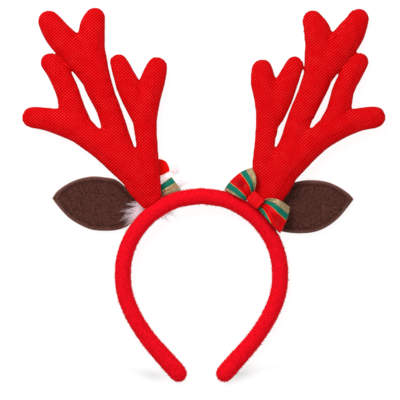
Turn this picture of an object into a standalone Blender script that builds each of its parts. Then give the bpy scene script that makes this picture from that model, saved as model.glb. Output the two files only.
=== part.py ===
"""Reindeer antler headband with felt ears, ribbon bows, a small hat and a fur tuft.

The headband lies on its back on the floor z = 0, with its front up. Seen from above it shows
its front: +X is to the viewer's right and +Y is up. Its two slopes meet at the band's top like
a shallow roof, so it rests on the band's ends and on the backs of the antler tips.
The origin is on the floor under the middle of the outline. Metres.
"""

import math

import bmesh
import bpy
from mathutils import Matrix, Vector

MM = 0.001
GAP = 0.3 * MM

# Overall layout
ROOF_SLOPE = math.tan(math.radians(5.0))
FLOOR_TRIM = 20.0 * MM

# Band: a padded tube
BAND_RADIUS = 6.4 * MM
BAND_MIDDLE_X = -1.8 * MM
BAND_END_HEIGHT = 5.9 * MM
# Columns: half width from the band's middle, y; millimetres, from the top to an end
BAND_LINE = [
    (0.0, -1.6),
    (19.2, -4.3),
    (34.8, -12.2),
    (46.4, -22.0),
    (56.5, -36.4),
    (61.5, -51.0),
    (62.8, -63.0),
    (62.0, -76.0),
    (58.2, -89.0),
    (50.9, -103.6),
    (40.7, -118.0),
    (28.2, -132.4),
    (18.6, -143.4),
]

# Antlers: stuffed limbs that run into each other
LIMB_DEPTH_RATIO = 0.64
ROOT_Y = -12.0 * MM
FULL_Y = 32.0 * MM
ROOT_PINCH = 0.70
ANTLER_FOOT_Y = -3.0 * MM
# Columns: x, y, half width; millimetres, from the band outwards
LIMBS_LEFT = {
    "inner_beam": [
        (-41.0, -6.5, 7.0),
        (-42.6, 7.6, 8.6),
        (-44.2, 23.6, 8.6),
        (-45.0, 39.6, 8.4),
        (-46.4, 53.2, 9.0),
        (-46.6, 66.0, 10.2),
        (-43.8, 78.8, 10.0),
        (-40.2, 91.6, 9.8),
        (-37.2, 101.2, 8.4),
    ],
    "inner_finger": [
        (-48.6, 61.2, 8.8),
        (-54.6, 75.6, 10.0),
        (-61.0, 88.4, 9.4),
        (-65.8, 99.6, 8.2),
        (-67.8, 105.0, 7.2),
    ],
    "middle_beam": [
        (-42.6, -7.0, 7.5),
        (-48.6, 5.2, 11.6),
        (-56.6, 21.2, 12.8),
        (-65.8, 37.2, 10.0),
        (-71.2, 53.2, 10.2),
        (-76.6, 69.2, 9.8),
        (-83.4, 85.2, 11.4),
        (-87.8, 101.2, 12.0),
        (-89.8, 115.6, 10.9),
        (-89.8, 128.4, 10.7),
        (-88.8, 136.4, 10.0),
        (-87.4, 140.7, 8.8),
    ],
    "middle_finger": [
        (-88.6, 94.8, 10.8),
        (-101.0, 111.6, 11.6),
        (-110.2, 120.8, 11.7),
        (-117.4, 128.8, 11.0),
        (-123.6, 137.8, 9.4),
    ],
    "outer_beam": [
        (-43.0, -6.0, 7.5),
        (-48.6, 5.2, 9.6),
        (-59.0, 18.8, 11.6),
        (-72.2, 32.0, 12.0),
        (-85.4, 41.9, 11.1),
        (-99.8, 51.6, 10.9),
        (-113.4, 56.6, 10.3),
        (-125.4, 59.6, 9.0),
        (-136.6, 61.0, 8.5),
    ],
    "outer_finger": [
        (-99.0, 54.8, 9.6),
        (-105.6, 68.2, 10.2),
        (-108.2, 78.8, 9.2),
        (-113.4, 91.6, 9.1),
        (-119.0, 101.2, 8.6),
        (-122.8, 104.8, 8.0),
    ],
}
LIMBS_RIGHT = {
    "inner_beam": [
        (49.0, -12.5, 6.5),
        (48.6, 11.6, 9.4),
        (47.8, 26.0, 9.0),
        (48.8, 38.8, 8.5),
        (49.8, 51.6, 8.6),
        (50.8, 64.4, 9.3),
        (50.2, 77.2, 10.2),
        (47.4, 89.2, 10.1),
        (46.3, 99.2, 8.5),
    ],
    "inner_finger": [
        (53.8, 61.2, 9.2),
        (59.4, 73.2, 9.6),
        (64.2, 85.2, 9.4),
        (69.4, 96.4, 7.9),
        (72.4, 103.2, 7.1),
    ],
    "middle_beam": [
        (50.0, -11.5, 7.0),
        (57.0, 6.8, 12.4),
        (63.4, 22.0, 13.6),
        (70.2, 37.2, 11.2),
        (74.6, 54.0, 9.8),
        (79.0, 65.2, 10.2),
        (84.2, 76.4, 10.5),
        (88.6, 86.8, 11.4),
        (91.8, 96.4, 11.8),
        (92.6, 109.2, 12.2),
        (92.2, 120.4, 11.2),
        (91.0, 130.0, 11.0),
        (89.0, 135.6, 9.8),
        (87.6, 138.8, 8.6),
    ],
    "middle_finger": [
        (89.8, 91.6, 11.2),
        (99.4, 106.0, 12.0),
        (109.8, 118.0, 12.3),
        (118.6, 130.4, 11.4),
        (124.0, 140.0, 8.6),
    ],
    "outer_beam": [
        (51.5, -7.0, 7.5),
        (56.2, 6.0, 9.6),
        (66.2, 19.6, 11.2),
        (77.8, 33.2, 12.0),
        (89.8, 44.0, 11.6),
        (103.4, 52.0, 10.8),
        (117.0, 57.2, 9.6),
        (126.6, 59.8, 9.0),
        (136.6, 61.2, 8.6),
    ],
    "outer_finger": [
        (97.0, 49.2, 8.8),
        (105.0, 61.2, 9.2),
        (109.0, 70.8, 9.4),
        (111.4, 82.0, 8.7),
        (116.6, 93.2, 8.7),
        (120.6, 100.4, 8.6),
        (124.4, 105.4, 7.7),
    ],
}

# Ears: two felt layers each
FELT = 1.4 * MM
EAR_LAYER_STEP = FELT + 0.6 * MM
FRONT_LAYER_INSET = 1.1 * MM
EAR_CUP = 1.2 * MM
# Columns: x, upper edge y, lower edge y; millimetres, from the tip to the hidden root
EAR_LEFT = [
    (-120.6, -2.6, -4.0),
    (-117.0, 2.4, -9.0),
    (-109.0, 8.2, -18.0),
    (-100.0, 12.0, -24.0),
    (-90.0, 14.0, -28.0),
    (-80.0, 13.6, -29.4),
    (-70.0, 11.4, -28.8),
    (-61.0, 4.0, -25.6),
    (-53.0, -4.0, -18.0),
]
EAR_RIGHT = [
    (119.8, -3.4, -4.8),
    (116.0, 0.6, -9.6),
    (108.0, 6.0, -19.0),
    (99.0, 9.8, -26.0),
    (89.0, 11.2, -30.2),
    (79.0, 10.8, -31.4),
    (69.0, 8.0, -31.0),
    (59.0, 1.0, -29.0),
    (46.0, -14.0, -24.0),
]
# Height of the back layer's middle at the tip and at the root
EAR_HEIGHTS = {"left": (3.0 * MM, 3.2 * MM), "right": (4.2 * MM, 6.8 * MM)}

# Ribbon bows
RIBBON = 1.0 * MM
GATHER_DEPTH = 0.7 * MM
GATHERS = 3.0
KNOT_EDGE = 2.6 * MM

# Small stuffed hat behind the left antler
HAT_PLACE = Vector((-38.3, 13.5, 4.5)) * MM
HAT_TURN = math.radians(22.0)
HAT_HALF_WIDTH = 12.5 * MM
HAT_HALF_DEPTH = 3.6 * MM
HAT_RISE = 13.5 * MM
HAT_LEAN = 5.0 * MM
BRIM_RADIUS = 2.6 * MM
POMPOM_RADIUS = 3.0 * MM
POMPOM_PLACE = Vector((-23.2, 20.0, 6.2)) * MM

# Fur tuft: locks fanned out from a flat head behind the band
TUFT_HEAD = Vector((-40.0, -9.0, 4.8)) * MM
TUFT_HEAD_HALF = Vector((9.5, 7.5, 2.3)) * MM
LOCK_HALF_WIDTH = 2.6 * MM
LOCK_FLATTEN = 0.40
# Columns: share of the lock's length, share of its half width
LOCK_SHAPE = [
    (0.08, 0.7),
    (0.40, 1.0),
    (0.70, 0.8),
    (0.90, 0.45),
    (1.00, 0.12),
]
# Columns: angle from +X in degrees, length in millimetres, height of the free end in millimetres
LOCKS = [
    (42.0, 36.0, 4.6),
    (35.0, 34.0, 5.6),
    (27.0, 36.0, 4.6),
    (18.0, 30.0, 5.6),
    (8.0, 28.0, 4.6),
    (-10.0, 25.0, 5.6),
    (-24.0, 21.0, 4.6),
    (-45.0, 17.5, 5.4),
    (-68.0, 14.0, 4.6),
    (-122.0, 30.0, 8.5),
    (-136.0, 34.0, 8.8),
    (-149.0, 31.0, 9.2),
    (-164.0, 28.0, 9.0),
    (-179.0, 26.0, 9.2),
    (166.0, 25.0, 9.0),
]


def clear_scene():
    """Remove every object that the file opened with."""
    for item in list(bpy.data.objects):
        bpy.data.objects.remove(item, do_unlink=True)


def new_collection(name):
    """A collection linked to the scene."""
    collection = bpy.data.collections.new(name)
    bpy.context.scene.collection.children.link(collection)
    return collection


def new_material(name, colour, roughness, metallic=0.0):
    """A Principled material with a plain colour."""
    material = bpy.data.materials.new(name)
    material.use_nodes = True
    shader = material.node_tree.nodes["Principled BSDF"]
    shader.inputs["Base Color"].default_value = (*colour, 1.0)
    shader.inputs["Roughness"].default_value = roughness
    shader.inputs["Metallic"].default_value = metallic
    return material


def add_object(name, mesh, collection, material=None):
    """Put a mesh in a collection under a name."""
    item = bpy.data.objects.new(name, mesh)
    collection.objects.link(item)
    if material:
        mesh.materials.append(material)
    mesh.shade_smooth()
    mesh.set_sharp_from_angle(angle=math.radians(50.0))
    return item


def mesh_from(name, build):
    """A mesh filled by a function that works on a bmesh."""
    shape = bmesh.new()
    build(shape)
    shape.normal_update()
    bmesh.ops.recalc_face_normals(shape, faces=shape.faces)
    mesh = bpy.data.meshes.new(name)
    shape.to_mesh(mesh)
    shape.free()
    return mesh


def smooth_step(value):
    """Ease from 0 to 1 with level ends."""
    value = min(max(value, 0.0), 1.0)
    return value * value * (3.0 - 2.0 * value)


def smooth_rows(rows, steps):
    """Points on a smooth curve through every row, with steps of them to a row."""
    points = []
    for index in range(len(rows) - 1):
        before = rows[max(index - 1, 0)]
        start = rows[index]
        end = rows[index + 1]
        after = rows[min(index + 2, len(rows) - 1)]
        for step in range(steps):
            t = step / steps
            weights = (
                -0.5 * t + t * t - 0.5 * t ** 3,
                1.0 - 2.5 * t * t + 1.5 * t ** 3,
                0.5 * t + 2.0 * t * t - 1.5 * t ** 3,
                -0.5 * t * t + 0.5 * t ** 3,
            )
            columns = zip(before, start, end, after)
            points.append(tuple(sum(w * c for w, c in zip(weights, column)) for column in columns))
    points.append(tuple(rows[-1]))
    return points


def rounded_stations(stations):
    """Close both ends of a soft tube with a quarter round. A station is a point and a radius."""
    caps = []
    for end, inner in ((stations[0], stations[1]), (stations[-1], stations[-2])):
        outwards = (end[0] - inner[0]).normalized()
        cap = []
        for angle in (35.0, 65.0, 86.0):
            turn = math.radians(angle)
            cap.append((end[0] + outwards * end[1] * math.sin(turn), end[1] * math.cos(turn)))
        caps.append(cap)
    return list(reversed(caps[0])) + stations + caps[1]


def soft_tube(name, stations, bevel_resolution):
    """A closed tube mesh along stations, from a curve with a radius at each point."""
    curve = bpy.data.curves.new(name, "CURVE")
    curve.dimensions = "3D"
    curve.twist_mode = "Z_UP"
    curve.bevel_depth = 1.0
    curve.bevel_resolution = bevel_resolution
    curve.use_fill_caps = True
    spline = curve.splines.new("POLY")
    spline.points.add(len(stations) - 1)
    for point, (place, radius) in zip(spline.points, stations):
        point.co = (*place, 1.0)
        point.radius = radius
    holder = bpy.data.objects.new(name, curve)
    bpy.context.scene.collection.objects.link(holder)
    depsgraph = bpy.context.evaluated_depsgraph_get()
    mesh = bpy.data.meshes.new_from_object(holder.evaluated_get(depsgraph))
    bpy.data.objects.remove(holder, do_unlink=True)
    shape = bmesh.new()
    shape.from_mesh(mesh)
    bmesh.ops.remove_doubles(shape, verts=shape.verts, dist=0.00001)
    bmesh.ops.recalc_face_normals(shape, faces=shape.faces)
    shape.to_mesh(mesh)
    shape.free()
    return mesh


def add_boolean(item, other, operation):
    """Join, cut or trim one object by another with the exact solver."""
    modifier = item.modifiers.new(other.name, "BOOLEAN")
    modifier.operation = operation
    modifier.solver = "EXACT"
    modifier.object = other


def hide_tool(item):
    """Mark a cutter or a joined limb as a working shape."""
    item.hide_render = True
    item.display_type = "WIRE"
    return item


def band_height(y):
    """Height of the band's middle line over the floor."""
    return BAND_END_HEIGHT + (y - BAND_LINE[-1][1] * MM) * ROOF_SLOPE


def band_stations():
    """The band's line from one end over the top to the other."""
    half = smooth_rows(BAND_LINE, 2)
    line = [(-x, y) for x, y in reversed(half[1:])] + half
    stations = []
    for x, y in line:
        place = Vector((BAND_MIDDLE_X + x * MM, y * MM, band_height(y * MM)))
        stations.append((place, BAND_RADIUS))
    return rounded_stations(stations)


def band_tube(name, extra):
    """The band's tube with its radius made larger by extra."""
    stations = [(place, radius + extra * min(radius / BAND_RADIUS, 1.0))
                for place, radius in band_stations()]
    return soft_tube(name, stations, 4)


def floor_block():
    """A block under the floor that flattens what lies on it."""
    def build(shape):
        bmesh.ops.create_cube(shape, size=1.0)
        bmesh.ops.scale(shape, vec=(0.5, 0.5, FLOOR_TRIM), verts=shape.verts)
        bmesh.ops.translate(shape, vec=(0.0, 0.0, -FLOOR_TRIM / 2), verts=shape.verts)
    return hide_tool(add_object("floor_cutter", mesh_from("floor_cutter", build), TOOLS))


def antler_point(point):
    """Move a point of a flat antler to its depth: thinner at the band, leaning to the floor."""
    pinch = ROOT_PINCH + (1.0 - ROOT_PINCH) * smooth_step((point.y - ROOT_Y) / (FULL_Y - ROOT_Y))
    leaning = band_height(ANTLER_FOOT_Y) - (point.y - ANTLER_FOOT_Y) * ROOF_SLOPE
    middle = min(leaning, band_height(point.y))
    return Vector((point.x, point.y, middle + point.z * LIMB_DEPTH_RATIO * pinch))


def make_antler(name, limbs, band_cutter, floor_cutter):
    """A stuffed antler: limbs joined to one body, cut clear of the band, flat on the floor."""
    body = None
    for limb, rows in limbs.items():
        stations = [(Vector((x, y, 0.0)) * MM, width * MM) for x, y, width in smooth_rows(rows, 2)]
        limb_name = name + "_" + limb
        mesh = soft_tube(limb_name, rounded_stations(stations), 4)
        for vertex in mesh.vertices:
            vertex.co = antler_point(vertex.co)
        if body is None:
            mesh.name = name
            body = add_object(name, mesh, PARTS, KNIT)
        else:
            add_boolean(body, hide_tool(add_object(limb_name, mesh, TOOLS)), "UNION")
    add_boolean(body, band_cutter, "DIFFERENCE")
    add_boolean(body, floor_cutter, "DIFFERENCE")
    return body


def make_sheet(name, steps, place, thickness, material):
    """A sheet of cloth: a grid whose points a function places, given a wall."""
    def build(shape):
        bmesh.ops.create_grid(shape, x_segments=steps[0], y_segments=steps[1], size=1.0)
        for vertex in shape.verts:
            vertex.co = place((vertex.co.x + 1.0) / 2, vertex.co.y)
    item = add_object(name, mesh_from(name, build), PARTS, material)
    wall = item.modifiers.new("wall", "SOLIDIFY")
    wall.thickness = thickness
    wall.offset = 0.0
    return item


def make_ear(side, rows):
    """Two cupped felt leaves, the front one a little smaller, with their tips outwards."""
    tip_height, root_height = EAR_HEIGHTS[side]
    line = smooth_rows(rows, 1)
    for layer, lift, inset in (("back", 0.0, 0.0), ("front", EAR_LAYER_STEP, FRONT_LAYER_INSET)):
        def place(along, across):
            x, upper, lower = line[round(along * (len(line) - 1))]
            half = (upper - lower) / 2 * MM
            middle = (upper + lower) / 2 * MM
            shift = inset * math.copysign(2.0, -x) * max(0.0, 1.0 - 4.0 * along)
            half = max(half - inset, 0.45 * MM)
            cup = EAR_CUP * across ** 2 * math.sin(math.pi * along)
            height = tip_height + (root_height - tip_height) * along + cup
            return Vector((x * MM + shift, middle + across * half, height + lift))
        make_sheet("ear_" + side + "_" + layer, (len(line) - 1, 6), place, FELT, FELT_BROWN)


def loop_place(root, fold, back, thickness, drop_from, bulge=1.0, belly=0.0, tilt=0.0):
    """The surface of one ribbon loop: out behind, round at the fold, and back in front.

    root and fold are the lower and upper corners in plan. back is the height of the loop's back
    at the root and at the fold, thickness its depth there, and drop_from the share of the way
    where it starts to sink. bulge rounds the fold, belly rounds the upper edge between knot and
    fold, and tilt lifts the upper edge. Lengths are in millimetres.
    """
    root_low, root_high = (Vector((*corner, 0.0)) * MM for corner in root)
    fold_low, fold_high = (Vector((*corner, 0.0)) * MM for corner in fold)
    outwards = ((fold_low + fold_high) - (root_low + root_high)).normalized()
    upwards = (fold_high - fold_low).normalized()

    def place(along, across):
        share = (across + 1.0) / 2
        reach = max(math.sin(math.pi * along), 0.0) ** 0.6
        lift = 0.5 - 0.5 * math.cos(math.pi * along)
        point = root_low.lerp(root_high, share).lerp(fold_low.lerp(fold_high, share), reach)
        point += outwards * bulge * MM * (1.0 - across ** 2) * reach ** 3
        point += upwards * belly * MM * share * math.sin(math.pi * reach ** 1.2)
        sunk = smooth_step((reach - drop_from) / (1.0 - drop_from))
        height = back[0] + (back[1] - back[0]) * sunk + tilt * share * reach
        depth = thickness[0] + (thickness[1] - thickness[0]) * smooth_step(reach / 0.7)
        height += lift * depth * (1.0 - 0.35 * across ** 2)
        gather = GATHER_DEPTH * math.cos(GATHERS * math.pi * across) * (1.0 - reach)
        point.z = height * MM + gather
        return point
    return place


def make_knot(name, centre, size, turn, material):
    """A soft block of wrapped satin."""
    def build(shape):
        bmesh.ops.create_cube(shape, size=1.0)
        bmesh.ops.scale(shape, vec=Vector(size) * MM, verts=shape.verts)
    item = add_object(name, mesh_from(name, build), PARTS, material)
    item.location = Vector(centre) * MM
    item.rotation_euler = (0.0, 0.0, math.radians(turn))
    edge = item.modifiers.new("round", "BEVEL")
    edge.width = min(KNOT_EDGE, min(size) * MM * 0.45)
    edge.segments = 3
    return item


def make_front_bow():
    """Two full ribbon loops beside the right antler's base, with a satin knot over it."""
    left = loop_place(
        root=((35.6, -2.6), (39.8, 2.4)), fold=((17.4, 4.4), (38.4, 20.8)), back=(23.6, 14.0),
        thickness=(3.0, 10.5), drop_from=0.15, bulge=3.0, belly=3.2, tilt=6.0)
    right = loop_place(
        root=((44.4, -11.6), (49.2, -6.2)), fold=((59.6, -29.4), (67.2, -11.8)), back=(23.5, 17.0),
        thickness=(3.0, 8.5), drop_from=0.5, bulge=2.3, belly=4.8)
    make_sheet("bow_front_loop_left", (14, 8), left, RIBBON, RIBBON_STRIPES)
    make_sheet("bow_front_loop_right", (14, 8), right, RIBBON, RIBBON_STRIPES)
    make_knot("bow_front_knot", (41.8, -4.2, 26.9), (10.2, 10.5, 7.5), -41.0, SATIN)


def make_back_bow():
    """A flatter bow behind the left antler's base. Only the end of one loop shows."""
    right = loop_place(
        root=((-36.5, -1.7), (-38.7, 2.0)), fold=((-19.4, 4.2), (-26.9, 13.2)), back=(8.6, 8.2),
        thickness=(1.8, 3.6), drop_from=0.3)
    left = loop_place(
        root=((-43.6, 2.4), (-46.0, -0.7)), fold=((-52.0, 12.0), (-58.0, 5.6)), back=(8.5, 7.9),
        thickness=(1.8, 2.0), drop_from=0.3)
    make_sheet("bow_back_loop_right", (12, 5), right, RIBBON, RIBBON_STRIPES)
    make_sheet("bow_back_loop_left", (12, 4), left, RIBBON, RIBBON_STRIPES)
    make_knot("bow_back_knot", (-41.2, -2.0, 9.8), (6.8, 6.4, 3.2), 30.0, SATIN)


def hat_crown_mesh(name):
    """A stuffed cap: a flattened dome whose point leans to the right."""
    def build(shape):
        bmesh.ops.create_uvsphere(shape, u_segments=16, v_segments=12, radius=1.0)
        below = [vertex for vertex in shape.verts if vertex.co.z < -0.01]
        bmesh.ops.delete(shape, geom=below, context="VERTS")
        rim = [edge for edge in shape.edges if edge.is_boundary]
        bmesh.ops.holes_fill(shape, edges=rim)
        for vertex in shape.verts:
            rise = vertex.co.z
            width = vertex.co.x * HAT_HALF_WIDTH + rise * HAT_LEAN
            vertex.co = Vector((width, rise * HAT_RISE, vertex.co.y * HAT_HALF_DEPTH))
    return mesh_from(name, build)


def make_hat():
    """A small hat seen from the side: crown, plush roll and pompom."""
    crown = add_object("hat_crown", hat_crown_mesh("hat_crown"), PARTS, FELT_RED)
    crown.location = HAT_PLACE
    crown.rotation_euler = (0.0, 0.0, HAT_TURN)

    across = Matrix.Rotation(HAT_TURN, 3, "Z")
    half = HAT_HALF_WIDTH - 0.8 * MM
    drop = -(BRIM_RADIUS + GAP)
    stations = []
    for share in (-1.0, -0.5, 0.0, 0.5, 1.0):
        place = HAT_PLACE + across @ Vector((share * half, drop - 0.6 * MM * (1 - share ** 2), 0.0))
        stations.append((place, BRIM_RADIUS))
    mesh = soft_tube("hat_brim", rounded_stations(stations), 3)
    add_object("hat_brim", mesh, PARTS, PLUSH_WHITE)

    def build(shape):
        bmesh.ops.create_icosphere(shape, subdivisions=3, radius=1.0)
        for vertex in shape.verts:
            x, y, z = vertex.co
            locks = math.sin(7.0 * x + 1.0) * math.sin(7.0 * y) * math.sin(7.0 * z + 2.0)
            vertex.co *= POMPOM_RADIUS * (1.0 + 0.10 * locks)
    pompom = add_object("hat_pompom", mesh_from("hat_pompom", build), PARTS, PLUSH_WHITE)
    pompom.location = POMPOM_PLACE


def make_tuft():
    """Flat pointed locks fused to a head."""
    def build(shape):
        bmesh.ops.create_uvsphere(shape, u_segments=14, v_segments=8, radius=1.0)
        bmesh.ops.scale(shape, vec=TUFT_HEAD_HALF, verts=shape.verts)
        bmesh.ops.translate(shape, vec=TUFT_HEAD, verts=shape.verts)
    head = add_object("fur_tuft", mesh_from("fur_tuft", build), PARTS, FUR_WHITE)
    for number, (angle, length, end_height) in enumerate(LOCKS):
        turn = math.radians(angle)
        outwards = Vector((math.cos(turn), math.sin(turn), 0.0))
        aside = Vector((-outwards.y, outwards.x, 0.0))
        sway = 1.6 * MM * (1 if number % 2 else -1)
        stations = []
        for share, width in LOCK_SHAPE:
            place = TUFT_HEAD + outwards * length * MM * share + aside * sway * math.sin(math.pi * share)
            height = TUFT_HEAD.z + (end_height * MM - TUFT_HEAD.z) * smooth_step(share * 1.4)
            place.z = height / LOCK_FLATTEN
            stations.append((place, LOCK_HALF_WIDTH * width))
        mesh = soft_tube("lock", stations, 1)
        mesh.transform(Matrix.Diagonal((1.0, 1.0, LOCK_FLATTEN, 1.0)))
        hide_tool(add_object("fur_tuft_lock_%d" % number, mesh, LOCK_SHAPES))
    joined = head.modifiers.new("locks", "BOOLEAN")
    joined.operation = "UNION"
    joined.solver = "EXACT"
    joined.operand_type = "COLLECTION"
    joined.collection = LOCK_SHAPES


clear_scene()
PARTS = new_collection("reindeer_antler_headband")
TOOLS = new_collection("working_shapes")
LOCK_SHAPES = new_collection("working_locks")

PLUSH_RED = new_material("plush_red", (0.75, 0.01, 0.02), 0.95)
KNIT = new_material("knit_red", (0.70, 0.01, 0.015), 0.85)
FELT_BROWN = new_material("felt_brown", (0.09, 0.035, 0.03), 0.95)
RIBBON_STRIPES = new_material("ribbon_striped", (0.06, 0.28, 0.22), 0.45)
SATIN = new_material("satin_red", (0.60, 0.01, 0.02), 0.30)
FELT_RED = new_material("felt_red", (0.65, 0.01, 0.02), 0.95)
PLUSH_WHITE = new_material("plush_white", (0.85, 0.84, 0.82), 0.95)
FUR_WHITE = new_material("fur_white", (0.88, 0.88, 0.87), 0.90)

FLOOR = floor_block()
band = add_object("band", band_tube("band", 0.0), PARTS, PLUSH_RED)
band_clear = hide_tool(add_object("band_cutter", band_tube("band_cutter", GAP), TOOLS))
add_boolean(band, FLOOR, "DIFFERENCE")
make_antler("antler_left", LIMBS_LEFT, band_clear, FLOOR)
make_antler("antler_right", LIMBS_RIGHT, band_clear, FLOOR)
make_ear("left", EAR_LEFT)
make_ear("right", EAR_RIGHT)
make_front_bow()
make_back_bow()
make_hat()
make_tuft()
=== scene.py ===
"""Looks of a reindeer antler headband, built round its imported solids.

The headband lies on its back on a pale table and is seen from straight above: +X is to the
viewer's right, +Y is up and +Z comes towards the viewer. Every soft piece stands in the place
of its solid. Lengths are in metres.
"""

import logging
import math
from dataclasses import dataclass, field
from enum import Enum

import bpy
import numpy as np
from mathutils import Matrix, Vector, kdtree, noise


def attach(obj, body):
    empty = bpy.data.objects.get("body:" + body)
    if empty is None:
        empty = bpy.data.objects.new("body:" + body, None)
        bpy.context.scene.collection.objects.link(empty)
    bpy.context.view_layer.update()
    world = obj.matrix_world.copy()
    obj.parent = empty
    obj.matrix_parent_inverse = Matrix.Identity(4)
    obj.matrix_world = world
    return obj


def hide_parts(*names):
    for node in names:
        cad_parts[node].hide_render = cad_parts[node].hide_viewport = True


MM = 0.001
OFF_FLOOR = 0.03 * MM
TINY = 1e-9
BODY = "root"
LOG = logging.getLogger("headband")

Colour = tuple[float, float, float]
Socket = bpy.types.NodeSocket
Piece = bpy.types.Object


class Slot(Enum):
    """The record's material slots."""

    BAND_PLUSH = "plush_red"
    ANTLER_KNIT = "knit_red"
    EAR_FELT = "felt_brown"
    STRIPED_RIBBON = "ribbon_striped"
    KNOT_SATIN = "satin_red"
    HAT_FELT = "felt_red"
    WHITE_PLUSH = "plush_white"
    WHITE_FUR = "fur_white"


class Side(Enum):
    """A side of the headband, as the viewer sees it."""

    LEFT = -1
    RIGHT = 1


def linear(red: float, green: float, blue: float) -> Colour:
    """Turn a display colour, 0 to 255, to linear light, 0 to 1."""
    shares = (red / 255, green / 255, blue / 255)
    return tuple(s / 12.92 if s < 0.04045 else ((s + 0.055) / 1.055) ** 2.4 for s in shares)


def smooth_step(value: np.ndarray) -> np.ndarray:
    """Ease from 0 to 1 with level ends."""
    value = np.clip(value, 0.0, 1.0)
    return value * value * (3.0 - 2.0 * value)


def smooth_rows(rows: list[tuple[float, ...]], steps: int) -> np.ndarray:
    """Find points on a smooth curve through every row.

    Args:
        rows: The points that the curve passes, any number of columns.
        steps: How many points stand for each stretch between two rows.

    Returns:
        One row for each point on the curve.
    """
    table = np.array(rows, float)
    padded = np.vstack([2 * table[0] - table[1], table, 2 * table[-1] - table[-2]])
    points = []
    for index in range(len(table) - 1):
        before, start, end, after = padded[index:index + 4]
        for t in np.arange(steps) / steps:
            points.append(
                (-0.5 * t + t * t - 0.5 * t ** 3) * before
                + (1.0 - 2.5 * t * t + 1.5 * t ** 3) * start
                + (0.5 * t + 2.0 * t * t - 1.5 * t ** 3) * end
                + (-0.5 * t * t + 0.5 * t ** 3) * after
            )
    points.append(table[-1])
    return np.array(points)


def select_only(piece: Piece) -> None:
    """Make one piece the selected and active one.

    Args:
        piece: The piece.
    """
    bpy.ops.object.select_all(action="DESELECT")
    piece.select_set(True)
    bpy.context.view_layer.objects.active = piece


def add_piece(name: str, mesh: bpy.types.Mesh) -> Piece:
    """Put a mesh in the scene under a name.

    Args:
        name: The piece's name.
        mesh: Its mesh.

    Returns:
        The new piece.
    """
    mesh.name = name
    piece = bpy.data.objects.new(name, mesh)
    bpy.context.scene.collection.objects.link(piece)
    return piece


def read_rows(source: bpy.types.bpy_prop_collection, name: str) -> np.ndarray:
    """Read a vector from every item of a collection, one row each.

    Args:
        source: The collection.
        name: What to read from each item.

    Returns:
        One row for each item.
    """
    flat = np.empty(len(source) * 3, np.float32)
    source.foreach_get(name, flat)
    return flat.reshape(-1, 3).astype(float)


def places(piece: Piece) -> np.ndarray:
    """Read the places of a piece's vertices, one row each."""
    return read_rows(piece.data.vertices, "co")


def set_places(piece: Piece, rows: np.ndarray) -> None:
    """Write the places of a piece's vertices."""
    piece.data.vertices.foreach_set("co", rows.astype(np.float32).ravel())
    piece.data.update()


def outwards(piece: Piece) -> np.ndarray:
    """Read the outward directions at a piece's vertices, one row each."""
    return read_rows(piece.data.vertex_normals, "vector")


def lumps(rows: np.ndarray, size: float, seed: float) -> np.ndarray:
    """Read a soft random relief at some places, about -1 to 1. The seed shifts its lumps."""
    shift = Vector((seed, 1.7 * seed, -seed))
    return np.array([noise.noise(Vector(row) / size + shift) for row in rows])


def write_mask(piece: Piece, name: str, values: np.ndarray) -> None:
    """Keep a value for each vertex that the finish reads by name."""
    mask = piece.data.attributes.new(name, "FLOAT", "POINT")
    mask.data.foreach_set("value", values.astype(np.float32))


def apply_modifiers(piece: Piece) -> None:
    """Apply every modifier of a piece in order.

    Args:
        piece: The piece.
    """
    select_only(piece)
    for modifier in list(piece.modifiers):
        bpy.ops.object.modifier_apply(modifier=modifier.name)


def subdivide(piece: Piece, levels: int) -> None:
    """Round a piece with a subdivision surface.

    Args:
        piece: The piece.
        levels: How often it is divided.
    """
    modifier = piece.modifiers.new("rounding", "SUBSURF")
    modifier.levels = levels
    modifier.render_levels = levels
    apply_modifiers(piece)


def face_outwards(piece: Piece) -> None:
    """Turn every face of a closed piece outwards.

    Args:
        piece: The piece.
    """
    select_only(piece)
    bpy.ops.object.mode_set(mode="EDIT")
    bpy.ops.mesh.select_all(action="SELECT")
    bpy.ops.mesh.normals_make_consistent(inside=False)
    bpy.ops.object.mode_set(mode="OBJECT")


def add_grid(name: str, columns: int, lines: int) -> Piece:
    """Add a flat grid that runs from -1 to 1 both ways.

    Args:
        name: The piece's name.
        columns: How many faces along X.
        lines: How many faces along Y.

    Returns:
        The grid.
    """
    bpy.ops.object.select_all(action="DESELECT")
    bpy.ops.mesh.primitive_grid_add(x_subdivisions=columns, y_subdivisions=lines, size=2.0)
    piece = bpy.context.object
    piece.name = name
    return piece


def thicken(piece: Piece, wall: float) -> None:
    """Give a sheet its wall, half on either side.

    Args:
        piece: The sheet.
        wall: How thick it gets.
    """
    solid = piece.modifiers.new("wall", "SOLIDIFY")
    solid.thickness = wall
    solid.offset = 0.0
    apply_modifiers(piece)
    face_outwards(piece)


@dataclass(frozen=True)
class Slit:
    """A narrow gap between two limbs that stays open: a line in plan, in millimetres."""

    start: tuple[float, float]
    end: tuple[float, float]
    half_width: float
    fade: float = 3.0

    def part(self, rows: np.ndarray) -> np.ndarray:
        """Press places on either side of the line apart.

        Args:
            rows: The places, one row each.

        Returns:
            The places, moved in plan where they were too near the line.
        """
        start = np.array(self.start) * MM
        along = np.array(self.end) * MM - start
        length = np.linalg.norm(along)
        along /= length
        aside = np.array([-along[1], along[0]])
        offset = rows[:, :2] - start
        way, gap = offset @ along, offset @ aside
        fade = self.fade * MM
        share = smooth_step(1.0 + way / fade) * smooth_step(1.0 + (length - way) / fade)
        push = np.maximum(self.half_width * MM * share - np.abs(gap), 0.0) * np.sign(gap)
        moved = rows.copy()
        moved[:, :2] += push[:, None] * aside
        return moved


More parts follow.
